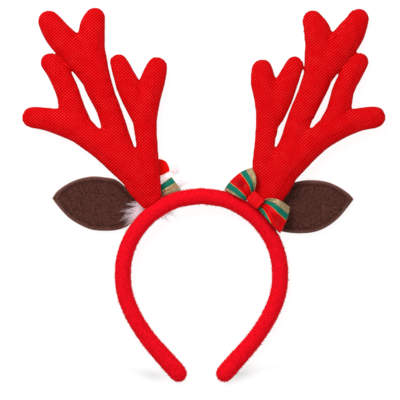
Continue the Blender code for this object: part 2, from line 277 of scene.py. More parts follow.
@dataclass(frozen=True)
class GapEnd:
    """The lower end of a gap between two limbs: four corners in plan, in millimetres."""

    corners: tuple[tuple[float, float], ...]
    reach: float = 60.0

    def cut(self, piece: Piece) -> None:
        """Cut the gap's end through a piece with a prism that reaches past it both ways.

        Args:
            piece: The piece to cut.
        """
        bpy.ops.object.select_all(action="DESELECT")
        bpy.ops.mesh.primitive_cylinder_add(vertices=len(self.corners), calc_uvs=False)
        cutter = bpy.context.object
        rows = places(cutter)
        for index, (x, y) in enumerate(self.corners):
            rows[2 * index:2 * index + 2, :2] = (x, y)
        rows[:, 2] = np.sign(rows[:, 2]) * self.reach
        set_places(cutter, rows * MM)
        face_outwards(cutter)
        opening = piece.modifiers.new("gap end", "BOOLEAN")
        opening.operation = "DIFFERENCE"
        opening.solver = "EXACT"
        opening.object = cutter
        apply_modifiers(piece)
        bpy.data.objects.remove(cutter)


def soft_copy(
    node: str, name: str, voxel: float, passes: int = 6, slits: tuple[Slit, ...] = (),
    gap_ends: tuple[GapEnd, ...] = ()
) -> Piece:
    """Copy a solid and give the copy an even skin that cloth can follow.

    Args:
        node: The solid to copy.
        name: The new piece's name.
        voxel: The size of the skin's faces.
        passes: How often the skin is smoothed.
        slits: Gaps that are kept open.
        gap_ends: Lower ends of gaps that are cut free.

    Returns:
        The new piece.
    """
    piece = add_piece(name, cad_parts[node].data.copy())
    piece.data.materials.clear()
    select_only(piece)
    bpy.ops.object.mode_set(mode="EDIT")
    bpy.ops.mesh.select_all(action="SELECT")
    bpy.ops.mesh.remove_doubles(threshold=0.01 * MM)
    bpy.ops.object.mode_set(mode="OBJECT")
    face_outwards(piece)
    for slit in slits:
        set_places(piece, slit.part(places(piece)))
    for gap_end in gap_ends:
        gap_end.cut(piece)
    select_only(piece)
    piece.data.remesh_voxel_size = voxel
    bpy.ops.object.voxel_remesh()
    if passes:
        even = piece.modifiers.new("even", "CORRECTIVE_SMOOTH")
        even.use_only_smooth = True
        even.iterations = passes
        even.factor = 0.5
        apply_modifiers(piece)
    return piece


@dataclass(frozen=True)
class Stuffing:
    """How firmly a padded piece is filled.

    slack is how far the rough skin starts inside, most_in and most_out limit how far the fine
    skin moves, grown is how much larger the skin is while it is cloth, and followed is how many
    places of the rough skin each place of the fine one follows.
    """

    pressure: float = 4.0
    slack: float = 0.4 * MM
    most_in: float = 0.2 * MM
    most_out: float = 0.3 * MM
    voxel: float = 2.1 * MM
    frames: int = 14
    grown: float = 10.0
    quality: int = 5
    mass: float = 0.3
    stiffness: float = 12.0
    bending: float = 0.4
    followed: int = 4

    def blow_up(self, rough: Piece) -> np.ndarray:
        """Blow a rough skin up as cloth.

        Args:
            rough: The skin, which is spent by this.

        Returns:
            How far each of its vertices moved.
        """
        start = places(rough)
        set_places(rough, (start - outwards(rough) * self.slack) * self.grown)
        cloth = rough.modifiers.new("stuffing", "CLOTH")
        cloth.settings.quality = self.quality
        cloth.settings.mass = self.mass
        cloth.settings.tension_stiffness = self.stiffness
        cloth.settings.compression_stiffness = self.stiffness
        cloth.settings.bending_stiffness = self.bending
        cloth.settings.use_pressure = True
        cloth.settings.uniform_pressure_force = self.pressure
        cloth.settings.effector_weights.gravity = 0.0
        cloth.collision_settings.use_collision = False
        cloth.point_cache.frame_start = 1
        cloth.point_cache.frame_end = self.frames
        for number in range(1, self.frames + 1):
            bpy.context.scene.frame_set(number)
        apply_modifiers(rough)
        bpy.context.scene.frame_set(1)
        moved = places(rough) / self.grown - start
        return moved - moved.mean(axis=0)

    def fill(self, piece: Piece, node: str) -> None:
        """Fill a fine skin: a rough one is blown up as cloth, and the fine one follows it.

        Args:
            piece: The fine skin.
            node: The solid that both skins are copies of.
        """
        rough = soft_copy(node, node + "_rough", self.voxel)
        start = places(rough)
        moved = self.blow_up(rough)
        bpy.data.objects.remove(rough, do_unlink=True)
        tree = kdtree.KDTree(len(start))
        for number, row in enumerate(start):
            tree.insert(row, number)
        tree.balance()
        rows = places(piece)
        shift = np.zeros_like(rows)
        for number, row in enumerate(rows):
            near = tree.find_n(row, self.followed)
            weights = [1.0 / (gap * gap + TINY) for _, _, gap in near]
            parts = [weight * moved[index] for weight, (_, index, _) in zip(weights, near)]
            shift[number] = sum(parts) / sum(weights)
        normals = outwards(piece)
        along = (shift * normals).sum(axis=1)
        kept = np.clip(along, -self.most_in, self.most_out)
        aside = shift - normals * along[:, None]
        far = np.linalg.norm(aside, axis=1, keepdims=True)
        aside *= np.minimum(1.0, self.most_out / np.maximum(far, TINY))
        set_places(piece, rows + aside + normals * kept[:, None])


def strand_mesh(name: str, paths: np.ndarray, radii: np.ndarray) -> bpy.types.Mesh:
    """Join many tapered three-sided strands to one closed mesh.

    Args:
        name: The mesh's name.
        paths: Strands by stations by 3.
        radii: Strands by stations, without the last one, which is the strand's point.

    Returns:
        The mesh.
    """
    count, stations, _ = paths.shape
    rings = stations - 1
    forward = np.gradient(paths, axis=1)
    forward /= np.linalg.norm(forward, axis=2, keepdims=True) + 1e-12
    slant = np.array([0.31, 0.52, 0.80])
    side = np.cross(forward, slant)
    side /= np.linalg.norm(side, axis=2, keepdims=True) + 1e-12
    across = np.cross(forward, side)
    corners = []
    for turn in (0.0, 120.0, 240.0):
        angle = math.radians(turn)
        offset = side * math.cos(angle) + across * math.sin(angle)
        corners.append(paths[:, :-1] + offset[:, :-1] * radii[:, :, None])
    ring = np.stack(corners, axis=2).reshape(count, rings * 3, 3)
    points = np.concatenate([ring, paths[:, -1:]], axis=1)
    faces = [(0, 2, 1)]
    for row in range(rings - 1):
        for edge in range(3):
            a, b = row * 3 + edge, row * 3 + (edge + 1) % 3
            faces += [(a, b, b + 3), (a, b + 3, a + 3)]
    last = (rings - 1) * 3
    faces += [(last + edge, last + (edge + 1) % 3, last + 3) for edge in range(3)]
    step = rings * 3 + 1
    table = np.array(faces)[None] + (np.arange(count) * step)[:, None, None]
    corner_list = table.reshape(-1).astype(np.int32)
    mesh = bpy.data.meshes.new(name)
    mesh.vertices.add(count * step)
    mesh.vertices.foreach_set("co", points.astype(np.float32).ravel())
    mesh.loops.add(len(corner_list))
    mesh.loops.foreach_set("vertex_index", corner_list)
    mesh.polygons.add(len(corner_list) // 3)
    mesh.polygons.foreach_set("loop_start", np.arange(0, len(corner_list), 3, dtype=np.int32))
    mesh.update(calc_edges=True)
    mesh.shade_smooth()
    return mesh


@dataclass(frozen=True)
class Pile:
    """Short fibres that stand on a cloth.

    lean is how far they sway for their length, shortest and spread are the least share of the
    length and how much may be added to it, and buried is the share that is under the cloth.
    """

    count: int
    length: float
    width: float
    lean: float
    seed: int
    shortest: float = 0.55
    spread: float = 0.75
    buried: float = 0.25

    def grow(self, ground: Piece, name: str) -> Piece:
        """Stand fibres on a piece's skin, spread evenly by area.

        Args:
            ground: The piece that they stand on.
            name: The new piece's name.

        Returns:
            The fibres as one piece.
        """
        chance = np.random.default_rng(self.seed)
        mesh = ground.data
        mesh.calc_loop_triangles()
        corners = np.empty(len(mesh.loop_triangles) * 3, np.int32)
        mesh.loop_triangles.foreach_get("vertices", corners)
        corners = corners.reshape(-1, 3)
        rows = places(ground)
        normals = outwards(ground)
        a, b, c = rows[corners[:, 0]], rows[corners[:, 1]], rows[corners[:, 2]]
        areas = np.linalg.norm(np.cross(b - a, c - a), axis=1)
        chosen = chance.choice(len(corners), self.count, p=areas / areas.sum())
        first, second = chance.random((2, self.count, 1))
        flip = first + second > 1.0
        first, second = np.where(flip, 1 - first, first), np.where(flip, 1 - second, second)
        roots = a[chosen] + (b - a)[chosen] * first + (c - a)[chosen] * second
        normal = normals[corners[chosen, 0]]
        sway = chance.normal(0.0, self.lean, (self.count, 3))
        reach = self.length * (self.shortest + self.spread * chance.random((self.count, 1)))
        bent = chance.normal(0.0, self.lean * 0.8, (self.count, 3))
        tips = roots + (normal + sway) * reach
        middle = roots + (normal * 0.62 + sway * 0.35 + bent * 0.2) * reach
        low = roots - normal * self.buried * self.length
        paths = np.stack([low, middle, tips], axis=1)
        paths[:, :, 2] = np.maximum(paths[:, :, 2], 0.02 * MM)
        radii = np.tile([self.width, self.width * 0.75], (self.count, 1))
        return add_piece(name, strand_mesh(name, paths, radii / 2))


def dress(piece: Piece, finish: "Finish", slot: Slot, *nodes: str) -> None:
    """Give a piece its finish, its body and the solids that it stands for.

    Args:
        piece: The piece.
        finish: The finish that it wears.
        slot: The record's slot that the finish belongs to. Not used.
        nodes: The solids that it replaces.
    """
    piece.data.materials.clear()
    piece.data.materials.append(finish.material())
    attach(piece, BODY)
    if nodes:
        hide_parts(*nodes)
    LOG.info("%s: %d faces", piece.name, len(piece.data.polygons))


class Wiring:
    """Lays out shader nodes in one tree and joins them."""

    def __init__(self, tree: bpy.types.NodeTree) -> None:
        """Keep the tree that the nodes go into."""
        self.tree = tree

    def feed(self, socket: Socket, value: object) -> None:
        """Join a socket to another one, or set its own value.

        Args:
            socket: The socket to feed.
            value: Another socket, or a plain value.
        """
        if isinstance(value, bpy.types.NodeSocket):
            self.tree.links.new(value, socket)
        else:
            socket.default_value = value

    def add(self, kind: str, sockets: dict[str, object], **settings: object) -> bpy.types.Node:
        """Place a node, set its settings and feed its inputs by name.

        Args:
            kind: The node's kind, without its usual prefix.
            sockets: What each named input gets.
            settings: What the node itself is set to.

        Returns:
            The node.
        """
        node = self.tree.nodes.new("ShaderNode" + kind)
        for key, value in settings.items():
            setattr(node, key, value)
        for key, value in sockets.items():
            self.feed(node.inputs[key], value)
        return node

    def math(self, operation: str, *values: object) -> Socket:
        """Work out one number from others.

        Args:
            operation: What is worked out.
            values: Sockets or numbers, in order.

        Returns:
            The result.
        """
        node = self.tree.nodes.new("ShaderNodeMath")
        node.operation = operation
        for socket, value in zip(node.inputs, values):
            self.feed(socket, value)
        return node.outputs[0]

    def blend(self, share: object, low: object, high: object) -> Socket:
        """Mix two colours by a share.

        Args:
            share: How much of the second colour there is.
            low: The first colour.
            high: The second colour.

        Returns:
            The mixed colour.
        """
        node = self.tree.nodes.new("ShaderNodeMix")
        node.data_type = "RGBA"
        for index, value in ((0, share), (6, low), (7, high)):
            if isinstance(value, tuple) and len(value) == 3:
                value = (*value, 1.0)
            self.feed(node.inputs[index], value)
        return node.outputs[2]

    def stretch(self, value: Socket, low: float, high: float, to: tuple[float, float]) -> Socket:
        """Map a value from one span to another, and stop at its ends.

        Args:
            value: The value.
            low: Where its span starts.
            high: Where its span ends.
            to: The span that it is mapped to.

        Returns:
            The mapped value.
        """
        node = self.add(
            "MapRange", {"From Min": low, "From Max": high, "To Min": to[0], "To Max": to[1]})
        self.feed(node.inputs["Value"], value)
        return node.outputs["Result"]

    def grain(self, vector: object, scale: float, detail: float = 2.0) -> Socket:
        """Place a soft random pattern, 0 to 1."""
        values = {"Vector": vector, "Scale": scale, "Detail": detail, "Roughness": 0.55}
        return self.add("TexNoise", values).outputs["Fac"]

    def mask(self, name: str) -> Socket:
        """Read a value that a piece keeps for each vertex."""
        return self.add("Attribute", {}, attribute_name=name).outputs["Fac"]

    def group(self, tree: bpy.types.NodeTree, sockets: dict[str, object]) -> bpy.types.Node:
        """Place a shared effect and feed its inputs by name.

        Args:
            tree: The shared effect.
            sockets: What each named input gets.

        Returns:
            The node.
        """
        node = self.tree.nodes.new("ShaderNodeGroup")
        node.node_tree = tree
        for key, value in sockets.items():
            self.feed(node.inputs[key], value)
        return node


class SharedEffects:
    """Shader effects that more than one finish uses, each built once."""

    def __init__(self) -> None:
        """Start with none built."""
        self.built: dict[str, bpy.types.NodeTree] = {}

    def open_group(
        self, name: str, inputs: list[tuple[str, str]], outputs: list[str]
    ) -> tuple[Wiring, bpy.types.Node, bpy.types.Node]:
        """Start a group with named inputs and outputs.

        Args:
            name: The group's name.
            inputs: Pairs of a name and a socket kind.
            outputs: Names of the values that it puts out.

        Returns:
            The wiring of the group, its input node and its output node.
        """
        tree = bpy.data.node_groups.new(name, "ShaderNodeTree")
        for label, kind in inputs:
            tree.interface.new_socket(label, in_out="INPUT", socket_type="NodeSocket" + kind)
        for label in outputs:
            tree.interface.new_socket(label, in_out="OUTPUT", socket_type="NodeSocketFloat")
        self.built[name] = tree
        start = tree.nodes.new("NodeGroupInput")
        end = tree.nodes.new("NodeGroupOutput")
        return Wiring(tree), start, end

    def matted_fibres(self) -> bpy.types.NodeTree:
        """Build or reuse the matted fibres of felt and plush: blotches, grain and height.

        Returns:
            The effect's tree.
        """
        name = "matted_fibres"
        if name not in self.built:
            inputs = [("Vector", "Vector"), ("Blotch Scale", "Float"), ("Grain Scale", "Float")]
            w, start, end = self.open_group(name, inputs, ["Blotch", "Grain", "Height"])
            vector = start.outputs["Vector"]
            blotch = w.grain(vector, start.outputs["Blotch Scale"], 3.0)
            grain = w.grain(vector, start.outputs["Grain Scale"], 4.0)
            w.feed(end.inputs["Blotch"], w.stretch(blotch, 0.3, 0.7, (0.0, 1.0)))
            w.feed(end.inputs["Grain"], w.stretch(grain, 0.3, 0.7, (0.0, 1.0)))
            height = w.math("MULTIPLY_ADD", grain, 0.7, w.math("MULTIPLY", blotch, 0.5))
            w.feed(end.inputs["Height"], height)
        return self.built[name]

    def ribs(self) -> bpy.types.NodeTree:
        """Build or reuse one family of ribs: a wave along a direction, 0 in grooves, 1 on ribs.

        Returns:
            The effect's tree.
        """
        name = "ribs"
        if name not in self.built:
            inputs = [("Vector", "Vector"), ("Direction", "Vector"), ("Pitch", "Float")]
            w, start, end = self.open_group(name, inputs, ["Rib"])
            along = w.add(
                "VectorMath", {0: start.outputs["Vector"], 1: start.outputs["Direction"]},
                operation="DOT_PRODUCT").outputs["Value"]
            turns = w.math("DIVIDE", along, start.outputs["Pitch"])
            wave = w.math("COSINE", w.math("MULTIPLY", turns, math.tau))
            w.feed(end.inputs["Rib"], w.math("MULTIPLY_ADD", wave, 0.5, 0.5))
        return self.built[name]


EFFECTS = SharedEffects()


@dataclass(frozen=True)
class Finish:
    """A cloth finish, made into a material once."""

    name: str

    def material(self) -> bpy.types.Material:
        """Make the material, or find it if it was made before.

        Returns:
            The material.
        """
        found = bpy.data.materials.get(self.name)
        if found:
            return found
        made = bpy.data.materials.new(self.name)
        made.use_nodes = True
        wiring = Wiring(made.node_tree)
        shader = made.node_tree.nodes["Principled BSDF"]
        where = wiring.add("TexCoord", {})
        self.wire(wiring, shader, where)
        return made

    def wire(self, w: Wiring, shader: bpy.types.Node, where: bpy.types.Node) -> None:
        """Wire the finish's own look. Each kind of finish does this."""
        raise NotImplementedError

    def relief(
        self, w: Wiring, shader: bpy.types.Node, height: Socket, depth: float, strength: float = 1.0
    ) -> None:
        """Feed a height to the shader's normal."""
        bump = w.add("Bump", {"Height": height, "Distance": depth, "Strength": strength})
        w.feed(shader.inputs["Normal"], bump.outputs["Normal"])

    def cloth(self, shader: bpy.types.Node, roughness: float, specular: float) -> None:
        """Set what is the same all over a cloth."""
        shader.inputs["Roughness"].default_value = roughness
        shader.inputs["Specular IOR Level"].default_value = specular


@dataclass(frozen=True)
class KnitFinish(Finish):
    """Fine openwork knit: two families of ribs that cross. Its map is in millimetres.

    first_turn and second_turn are the ways the ribs run in degrees, and bias favours the first
    ribs on the left of a limb. swing is how far the ribs wander, and shares are the strengths of
    the first ribs on a limb's left and right. The dot colour is painted highlight where ribs cross.
    """

    first_turn: float
    second_turn: float
    bias: float = 0.0
    low: Colour = linear(180, 0, 4)
    high: Colour = linear(232, 2, 10)
    dot_highlight: Colour = linear(255, 84, 84)
    pitch: float = 1.88
    swing: float = 2.2
    shares: tuple[float, float] = (0.88, 0.20)
    depth: float = 0.4 * MM

    def wire(self, w: Wiring, shader: bpy.types.Node, where: bpy.types.Node) -> None:
        """Wire crossing ribs, whose strengths change as the cloth turns over a limb.

        Args:
            w: Places and joins the nodes.
            shader: The material's main shader.
            where: The node that gives places on the piece.
        """
        sway = w.add("TexNoise", {"Vector": where.outputs["Object"], "Scale": 45.0, "Detail": 1.0})
        shift = w.add(
            "VectorMath", {0: sway.outputs["Color"], 1: (0.5, 0.5, 0.5)}, operation="SUBTRACT")
        vector = w.add(
            "VectorMath", {
                0: shift.outputs[0], 1: (self.swing, self.swing, 0.0), 2: where.outputs["UV"]},
            operation="MULTIPLY_ADD").outputs[0]
        ribs = []
        for turn in (self.first_turn, self.second_turn):
            angle = math.radians(turn)
            direction = (math.cos(angle), math.sin(angle), 0.0)
            node = w.group(EFFECTS.ribs(), {
                "Vector": vector, "Direction": direction, "Pitch": self.pitch})
            ribs.append(node.outputs["Rib"])
        patch = w.grain(where.outputs["Object"], 32.0, 1.0)
        normal = w.add("NewGeometry", {}).outputs["Normal"]
        facing = w.add("SeparateXYZ", {"Vector": normal}).outputs["X"]
        sway_by = w.stretch(patch, 0.35, 0.65, (-0.3 - self.bias, 0.3 - self.bias))
        lean = w.stretch(w.math("ADD", facing, sway_by), -0.35, 0.35, self.shares)
        first = w.math("MULTIPLY", ribs[0], lean)
        second = w.math("MULTIPLY", ribs[1], w.math("SUBTRACT", 1.0, lean))
        height = w.math("ADD", first, second)
        tone = w.stretch(height, 0.08, 0.92, (0.0, 1.0))
        blotch = w.grain(where.outputs["Object"], 120.0, 3.0)
        colour = w.blend(tone, self.low, self.high)
        colour = w.blend(w.stretch(blotch, 0.35, 0.75, (0.18, 0.0)), colour, self.low)
        # Painted highlight: lighter dots where the two families of ribs cross.
        crossing = w.math("MULTIPLY", ribs[0], ribs[1])
        patchy = w.stretch(blotch, 0.4, 0.7, (0.12, 0.42))
        # The folds below the notches get more painted highlight.
        raised = w.math("MULTIPLY_ADD", w.mask("fold_lift_and_highlight"), 0.25, patchy)
        highlight_dots = w.math("MULTIPLY", w.stretch(crossing, 0.35, 0.95, (0.0, 1.0)), raised)
        colour = w.blend(highlight_dots, colour, self.dot_highlight)
        w.feed(shader.inputs["Base Color"], colour)
        self.cloth(shader, 0.75, 0.03)
        self.relief(w, shader, height, self.depth, 0.7)


@dataclass(frozen=True)
class FibreFinish(Finish):
    """Felt, fleece, plush or fur: matted fibres with blotches and grain."""

    low: Colour
    high: Colour
    edge: Colour
    blotch_scale: float
    grain_scale: float
    blotch_share: float
    depth: float
    roughness: float = 0.9
    glow: float = 0.0

    def wire(self, w: Wiring, shader: bpy.types.Node, where: bpy.types.Node) -> None:
        """Wire blotches and grain between two tones, with a lighter rim and painted shade at the
        seams.

        Args:
            w: Places and joins the nodes.
            shader: The material's main shader.
            where: The node that gives places on the piece.
        """
        fibres = w.group(EFFECTS.matted_fibres(), {
            "Vector": where.outputs["Object"],
            "Blotch Scale": self.blotch_scale,
            "Grain Scale": self.grain_scale,
        })
        tone = w.math(
            "ADD", w.math("MULTIPLY", fibres.outputs["Blotch"], self.blotch_share),
            w.math("MULTIPLY", fibres.outputs["Grain"], 1.0 - self.blotch_share))
        colour = w.blend(tone, self.low, self.high)
        colour = w.blend(w.mask("rim"), colour, self.edge)
        # Painted shade: darker in the stitch dimples and along the front leaf's brink.
        shade = tuple(0.35 * part for part in self.low)
        colour = w.blend(w.mask("seam"), colour, shade)
        w.feed(shader.inputs["Base Color"], colour)
        self.cloth(shader, self.roughness, 0.06)
        # Painted glow: pale fibres give off a little light, standing in for light scattered through
        # them.
        if self.glow:
            w.feed(shader.inputs["Emission Color"], colour)
            shader.inputs["Emission Strength"].default_value = self.glow
        self.relief(w, shader, fibres.outputs["Height"], self.depth)


@dataclass(frozen=True)
class RibbonFinish(Finish):
    """Woven ribbon: satin middle, green bands, and glitter gold along both edges.

    edges are where the gold, the green and the gold thread end, as shares of the width.
    """

    red: Colour = linear(224, 4, 12)
    green: Colour = linear(20, 124, 100)
    dark_green: Colour = linear(14, 104, 86)
    lit_under_green: Colour = linear(112, 184, 152)
    gold: Colour = linear(176, 150, 110)
    dull_gold: Colour = linear(124, 98, 66)
    glint_gold: Colour = linear(216, 194, 150)
    thread: Colour = linear(206, 150, 76)
    edges: tuple[float, float, float] = (0.165, 0.315, 0.329)

    def wire(self, w: Wiring, shader: bpy.types.Node, where: bpy.types.Node) -> None:
        """Wire the stripes across the ribbon, the glitter of the gold and the fine weave.

        Args:
            w: Places and joins the nodes.
            shader: The material's main shader.
            where: The node that gives places on the piece.
        """
        parts = w.add("SeparateXYZ", {"Vector": where.outputs["UV"]})
        middle = w.math("ABSOLUTE", w.math("SUBTRACT", parts.outputs["Y"], 0.5))
        inward = w.math("SUBTRACT", 0.5, middle)
        gold_end, green_end, thread_end = self.edges
        sparkle = w.add("TexVoronoi", {"Vector": where.outputs["Object"], "Scale": 2300.0})
        flake = w.add("SeparateColor", {"Color": sparkle.outputs["Color"]}).outputs["Red"]
        glitter = w.stretch(flake, 0.55, 1.0, (0.0, 1.0))
        dull = w.blend(w.grain(where.outputs["Object"], 900.0, 2.0), self.dull_gold, self.gold)
        # The glitter flakes are real; their brighter colour is painted glint.
        gold = w.blend(glitter, dull, self.glint_gold)
        green = w.blend(w.grain(where.outputs["Object"], 500.0, 3.0), self.dark_green, self.green)
        colour = w.blend(w.math("GREATER_THAN", inward, gold_end), gold, green)
        in_thread = w.math("GREATER_THAN", inward, green_end)
        colour = w.blend(in_thread, colour, self.thread)
        in_satin = w.math("GREATER_THAN", inward, thread_end)
        colour = w.blend(in_satin, colour, self.red)
        # Painted light: the green of the layer underneath is a lighter, lit copy of the green.
        in_next = w.math("LESS_THAN", parts.outputs["Y"], 0.0)
        colour = w.blend(in_next, colour, self.lit_under_green)
        # Painted shade: darker in the pleats near the knot and in the dents, by the fold mask.
        shade = w.blend(0.88, colour, (0.0, 0.0, 0.0))
        colour = w.blend(w.mask("fold"), colour, shade)
        w.feed(shader.inputs["Base Color"], colour)
        in_gold = w.math("LESS_THAN", inward, gold_end)
        rough = w.math("MULTIPLY_ADD", in_satin, -0.17, 0.55)
        w.feed(shader.inputs["Roughness"], w.math("MULTIPLY_ADD", glitter, -0.1, rough))
        metal = w.math("MULTIPLY", in_gold, w.math("MULTIPLY_ADD", glitter, 0.35, 0.15))
        w.feed(shader.inputs["Metallic"], metal)
        shader.inputs["Specular IOR Level"].default_value = 0.05
        across = w.group(EFFECTS.ribs(), {
            "Vector": where.outputs["UV"], "Direction": (60.0, 22.0, 0.0), "Pitch": 1.0})
        flakes = w.math("MULTIPLY", flake, in_gold)
        height = w.math("MULTIPLY_ADD", across.outputs["Rib"], 0.3, flakes)
        self.relief(w, shader, height, 0.12 * MM, 0.5)


@dataclass(frozen=True)
class SatinFinish(Finish):
    """Red satin: smooth, with fine floats along the wrap."""

    red: Colour = linear(238, 8, 18)
    deep: Colour = linear(198, 0, 8)

    def wire(self, w: Wiring, shader: bpy.types.Node, where: bpy.types.Node) -> None:
        """Wire fine floats, with a soft change of tone between them.

        Args:
            w: Places and joins the nodes.
            shader: The material's main shader.
            where: The node that gives places on the piece.
        """
        turned = w.add("Mapping", {
            "Vector": where.outputs["Object"], "Rotation": (0.0, 0.0, math.radians(41.0)),
            "Scale": (3000.0, 260.0, 260.0)}).outputs["Vector"]
        floats = w.grain(turned, 1.0, 2.0)
        broad = w.grain(where.outputs["Object"], 220.0, 2.0)
        colour = w.blend(w.math("MULTIPLY_ADD", floats, 0.4, w.math("MULTIPLY", broad, 0.6)),
                         self.deep, self.red)
        w.feed(shader.inputs["Base Color"], colour)
        w.feed(shader.inputs["Roughness"], w.stretch(floats, 0.3, 0.7, (0.32, 0.44)))
        shader.inputs["Specular IOR Level"].default_value = 0.08
        self.relief(w, shader, floats, 0.06 * MM, 0.4)


@dataclass(frozen=True)
class Shade:
    """A soft shade on the table: its middle and radii in metres, its turn and its strength."""

    place: tuple[float, float]
    radii: tuple[float, float]
    turn: float
    strength: float


@dataclass(frozen=True)
class FloorFinish(Finish):
    """A white table that glows evenly, with soft shades by the band's ends."""

    tone: Colour = (0.16, 0.155, 0.156)
    glow: float = 0.90
    shades: tuple[Shade, ...] = ()

    def wire(self, w: Wiring, shader: bpy.types.Node, where: bpy.types.Node) -> None:
        """Wire a plain white that darkens a little in each shade.

        Args:
            w: Places and joins the nodes.
            shader: The material's main shader.
            where: The node that gives places on the piece.
        """
        light: object = 1.0
        for shade in self.shades:
            spot = w.add("Mapping", {
                "Vector": where.outputs["Object"],
                "Location": (*shade.place, 0.0),
                "Rotation": (0.0, 0.0, math.radians(shade.turn)),
                "Scale": (*shade.radii, 1.0),
            }, vector_type="TEXTURE")
            near = w.add("TexGradient", {"Vector": spot.outputs["Vector"]},
                         gradient_type="SPHERICAL").outputs["Fac"]
            soft = w.stretch(near, 0.0, 1.0, (0.0, 1.0))
            part = w.math("MULTIPLY", w.math("POWER", soft, 1.6), shade.strength)
            light = w.math("SUBTRACT", light, part)
        w.feed(shader.inputs["Base Color"], w.blend(light, (0.0, 0.0, 0.0), self.tone))
        shader.inputs["Roughness"].default_value = 0.9
        shader.inputs["Specular IOR Level"].default_value = 0.0
        shader.inputs["Emission Color"].default_value = (1.0, 1.0, 1.0, 1.0)
        w.feed(shader.inputs["Emission Strength"], w.math("MULTIPLY", light, self.glow))


BAND_FLEECE = FibreFinish(
    "band_fleece", linear(212, 2, 18), linear(248, 16, 36), linear(255, 90, 100),
    420.0, 1100.0, 0.45, 0.3 * MM)
EAR_FELT = FibreFinish(
    "ear_felt", linear(26, 10, 8), linear(102, 60, 52), linear(178, 130, 120),
    420.0, 950.0, 0.25, 0.5 * MM)
HAT_FELT = FibreFinish(
    "hat_felt", linear(222, 2, 0), linear(250, 20, 6), linear(250, 60, 30),
    400.0, 2200.0, 0.4, 0.15 * MM)
# The white plush and fur glow a little: painted light scattered through the fibres.
WHITE_PLUSH = FibreFinish(
    "white_plush", linear(240, 230, 232), linear(255, 248, 249), linear(255, 250, 250),
    500.0, 1600.0, 0.5, 0.12 * MM, glow=0.26)
# The fur's pink tint is painted red light bounced from the cloth round it.
WHITE_FUR = FibreFinish(
    "white_fur", linear(226, 206, 212), linear(252, 240, 244), linear(255, 250, 250),
    120.0, 900.0, 0.6, 0.05 * MM, roughness=0.75, glow=0.16)
LEFT_KNIT = KnitFinish("left_knit", 132.0, 49.0, 0.25)
RIGHT_KNIT = KnitFinish("right_knit", 128.0, 40.0)
STRIPED_RIBBON = RibbonFinish("striped_ribbon")
KNOT_SATIN = SatinFinish("knot_satin")
FLOOR_WHITE = FloorFinish("floor_white", shades=(
    Shade((-0.0400, -0.1455), (0.024, 0.010), -12.0, 0.22),
    Shade((-0.0640, -0.1400), (0.062, 0.009), -12.0, 0.07),
    Shade((0.0280, -0.1450), (0.024, 0.010), 12.0, 0.24),
    Shade((0.0560, -0.1385), (0.066, 0.010), 11.0, 0.09),
    Shade((-0.0030, -0.1470), (0.020, 0.010), 0.0, 0.04),
))


@dataclass(frozen=True)
class Notch:
    """Where two limbs part: the cloth is pulled into folds below it.

    x and y are its place, turn is the way the folds run from it in degrees, all as seen from
    above, and reach is how far they run.
    """

    x: float
    y: float
    turn: float
    reach: float


